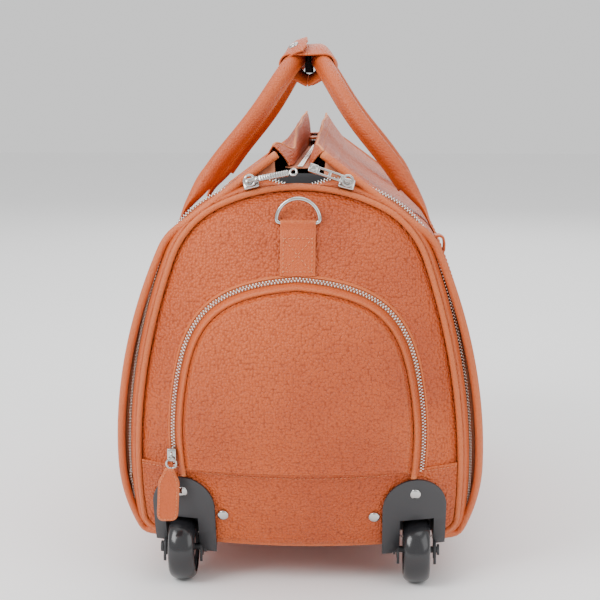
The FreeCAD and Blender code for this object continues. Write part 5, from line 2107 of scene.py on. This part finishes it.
# ------------------------------------------------------------------ tow-handle end and inside
@dataclass
class TowEnd(Assembly):
    """The sewn end round the tow handle, the handle itself, the base and the feet."""

    around: int = 300

    def build_skin(self) -> None:
        """The domed end, cut away round the tow handle's bezel, and its piping."""
        outline = shifted(FORM.body(self.around), -3.4 * MM)
        grid = dome_rows(outline, (0.0, 0.195), 44, 1.3, lambda flat, share: (
            0.6 * MM * ripple(at_depth(flat), 7.0, 0.06) * (1 - share ** 4)))
        skin = lay_grid("rear_end_skin", FORM.far(grid), close_cols=True)
        face_away(skin, far_core)
        thicken(skin, 2.4 * MM)
        carved(skin, [((-0.0685, 0.20, 0.0395), (0.0685, 0.34, 0.0705))])
        self.add(skin, "bag", HIDE, "rear_end_panel")
        x = np.linspace(-0.0235, 0.0235, 13)
        rows = [np.column_stack([x, np.full(13, y), 0.3915 - 1.5 * MM * np.square(x / 0.0235)])
                for y in np.linspace(0.2315, 0.2600, 8)]
        crown = face_away(lay_grid("rear_crown_patch", np.array(rows)), axis_core)
        thicken(crown, 1.2 * MM)
        self.add(crown, "bag", HIDE)
        line = FORM.far(FORM.on_end(shifted(FORM.panel(self.around), 2.4 * MM), 2.2 * MM))
        band = tube("rear_piping_roll", line, 2.3 * MM, closed=True, sides=12)
        self.add(band, "bag", TRIM, "rear_piping")

    def build_handle(self) -> None:
        """Bezel, grip, button, feet, tubes and boards."""
        for name, node, body, finish, bevel in (
                ("tow_bezel_moulding", "tow_bezel", "bag", PLASTIC, 0.8 * MM),
                ("tow_grip_moulding", "tow_grip", "inner_stage", PLASTIC, 0.5 * MM),
                ("release_button_cap", "button_cap", "release_button", RIM, 0.8 * MM),
                ("foot_mouldings", "rear_feet", "bag", PLASTIC, 1.0 * MM),
                ("clamp_mouldings", "tube_clamps", "bag", PLASTIC, 0.6 * MM),
                ("base_board_sheet", "base_board", "bag", RIM, 0.8 * MM)):
            self.add(from_cad(name, node, bevel), body, finish, node)
        for name in ("outer_tubes", "middle_tubes", "inner_tubes"):
            Finishes.dress(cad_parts[name], ALUMINIUM)
        for name in ("screws", "left_lock_pin", "right_lock_pin"):
            Finishes.dress(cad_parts[name], STEEL)
        Finishes.dress(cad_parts["push_rods"], RIM)

    def build_floor_pad(self) -> None:
        """The padded floor inside, swelled by cloth simulation."""
        low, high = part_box("false_floor")
        pad = box_piece("floor_pad", (low[0] + 2 * MM, low[1] + 2 * MM, low[2] + 0.4 * MM),
                        (high[0] - 2 * MM, high[1] - 2 * MM, high[2] - 0.4 * MM))
        activate(pad)
        bpy.ops.object.mode_set(mode="EDIT")
        bpy.ops.mesh.select_all(action="SELECT")
        bpy.ops.mesh.subdivide(number_cuts=24)
        bpy.ops.object.mode_set(mode="OBJECT")
        soften(pad, 1.0 * MM, 2, 60)
        puff(pad, cap=2.0 * MM)
        self.add(pad, "bag", LINING, "false_floor")

    def build(self) -> None:
        """Make the tow-handle end and everything inside."""
        self.build_skin()
        self.build_handle()
        self.build_floor_pad()


def puff(piece: bpy.types.Object, cap: float, pressure: float = 4.0) -> None:
    """Swell a closed piece by cloth simulation, and keep what it settles to.

    Args:
        piece: a closed mesh.
        cap: the farthest that a point may move.
        pressure: inside the cloth.
    """
    activate(piece)
    start = np.array([v.co for v in piece.data.vertices])
    cloth = piece.modifiers.new("cloth", "CLOTH")
    cloth.settings.use_pressure = True
    cloth.settings.uniform_pressure_force = pressure
    cloth.settings.effector_weights.gravity = 0
    for step in range(1, 16):
        bpy.context.scene.frame_set(step)
    shown = piece.evaluated_get(bpy.context.evaluated_depsgraph_get())
    moved = np.array([v.co for v in shown.data.vertices])
    piece.modifiers.remove(cloth)
    bpy.context.scene.frame_set(1)
    shift = moved - start
    far = np.linalg.norm(shift, axis=1, keepdims=True)
    shift = shift * np.minimum(1, cap / np.maximum(far, 1e-9))
    piece.data.vertices.foreach_set("co", (start + shift).astype(np.float32).ravel())
    piece.data.update()


# ------------------------------------------------------------------ stage
def build_stage() -> None:
    """Plain pale floor, soft lights and the camera."""
    scene = bpy.context.scene
    bpy.ops.object.select_all(action="DESELECT")
    bpy.ops.mesh.primitive_plane_add(size=14, location=(0, 0, 0))
    floor = bpy.context.object
    floor.name = "floor"
    material, shader = start_material("floor_white")
    shader.inputs["Base Color"].default_value = (0.93, 0.93, 0.93, 1)
    shader.inputs["Roughness"].default_value = 0.6
    floor.data.materials.append(material)
    world = bpy.data.worlds.new("studio")
    scene.world = world
    world.use_nodes = True
    world.node_tree.nodes["Background"].inputs["Color"].default_value = (1, 1, 1, 1)
    world.node_tree.nodes["Background"].inputs["Strength"].default_value = 0.95
    lights = [
        ("key", (-1.7, -1.5, 1.9), 1.5, 62), ("fill", (1.9, -1.5, 1.5), 2.0, 24),
        ("top", (0.1, 0.2, 2.6), 2.4, 34), ("back", (0.3, 2.4, 1.8), 2.2, 22),
    ]
    for name, place, size, power in lights:
        lamp = bpy.data.lights.new(name, "AREA")
        lamp.shape = "SQUARE"
        lamp.size = size
        lamp.energy = power
        holder = bpy.data.objects.new(name, lamp)
        holder.location = place
        aim = Vector((0, 0, 0.22)) - Vector(place)
        holder.rotation_euler = aim.to_track_quat("-Z", "Y").to_euler()
        scene.collection.objects.link(holder)
    camera = bpy.data.cameras.new("camera")
    camera.sensor_width = 36
    camera.lens = 86.3
    eye = bpy.data.objects.new("camera", camera)
    eye.location = (0.055, -1.506, 0.461)
    eye.rotation_euler = (math.radians(81.08), 0, math.radians(2.46))
    scene.collection.objects.link(eye)
    scene.camera = eye


def main() -> None:
    """Build the whole bag in order."""
    logging.basicConfig(level=logging.INFO, format="%(name)s %(message)s")
    for builder in (Wrap(), WheeledEnd(), Pocket(), Wheels(), Handles(), TopOpening(), Hardware(),
                    TowEnd()):
        builder.build()
        LOG.info("%s done", type(builder).__name__)
    build_stage()


if __name__ == "__main__":
    main()
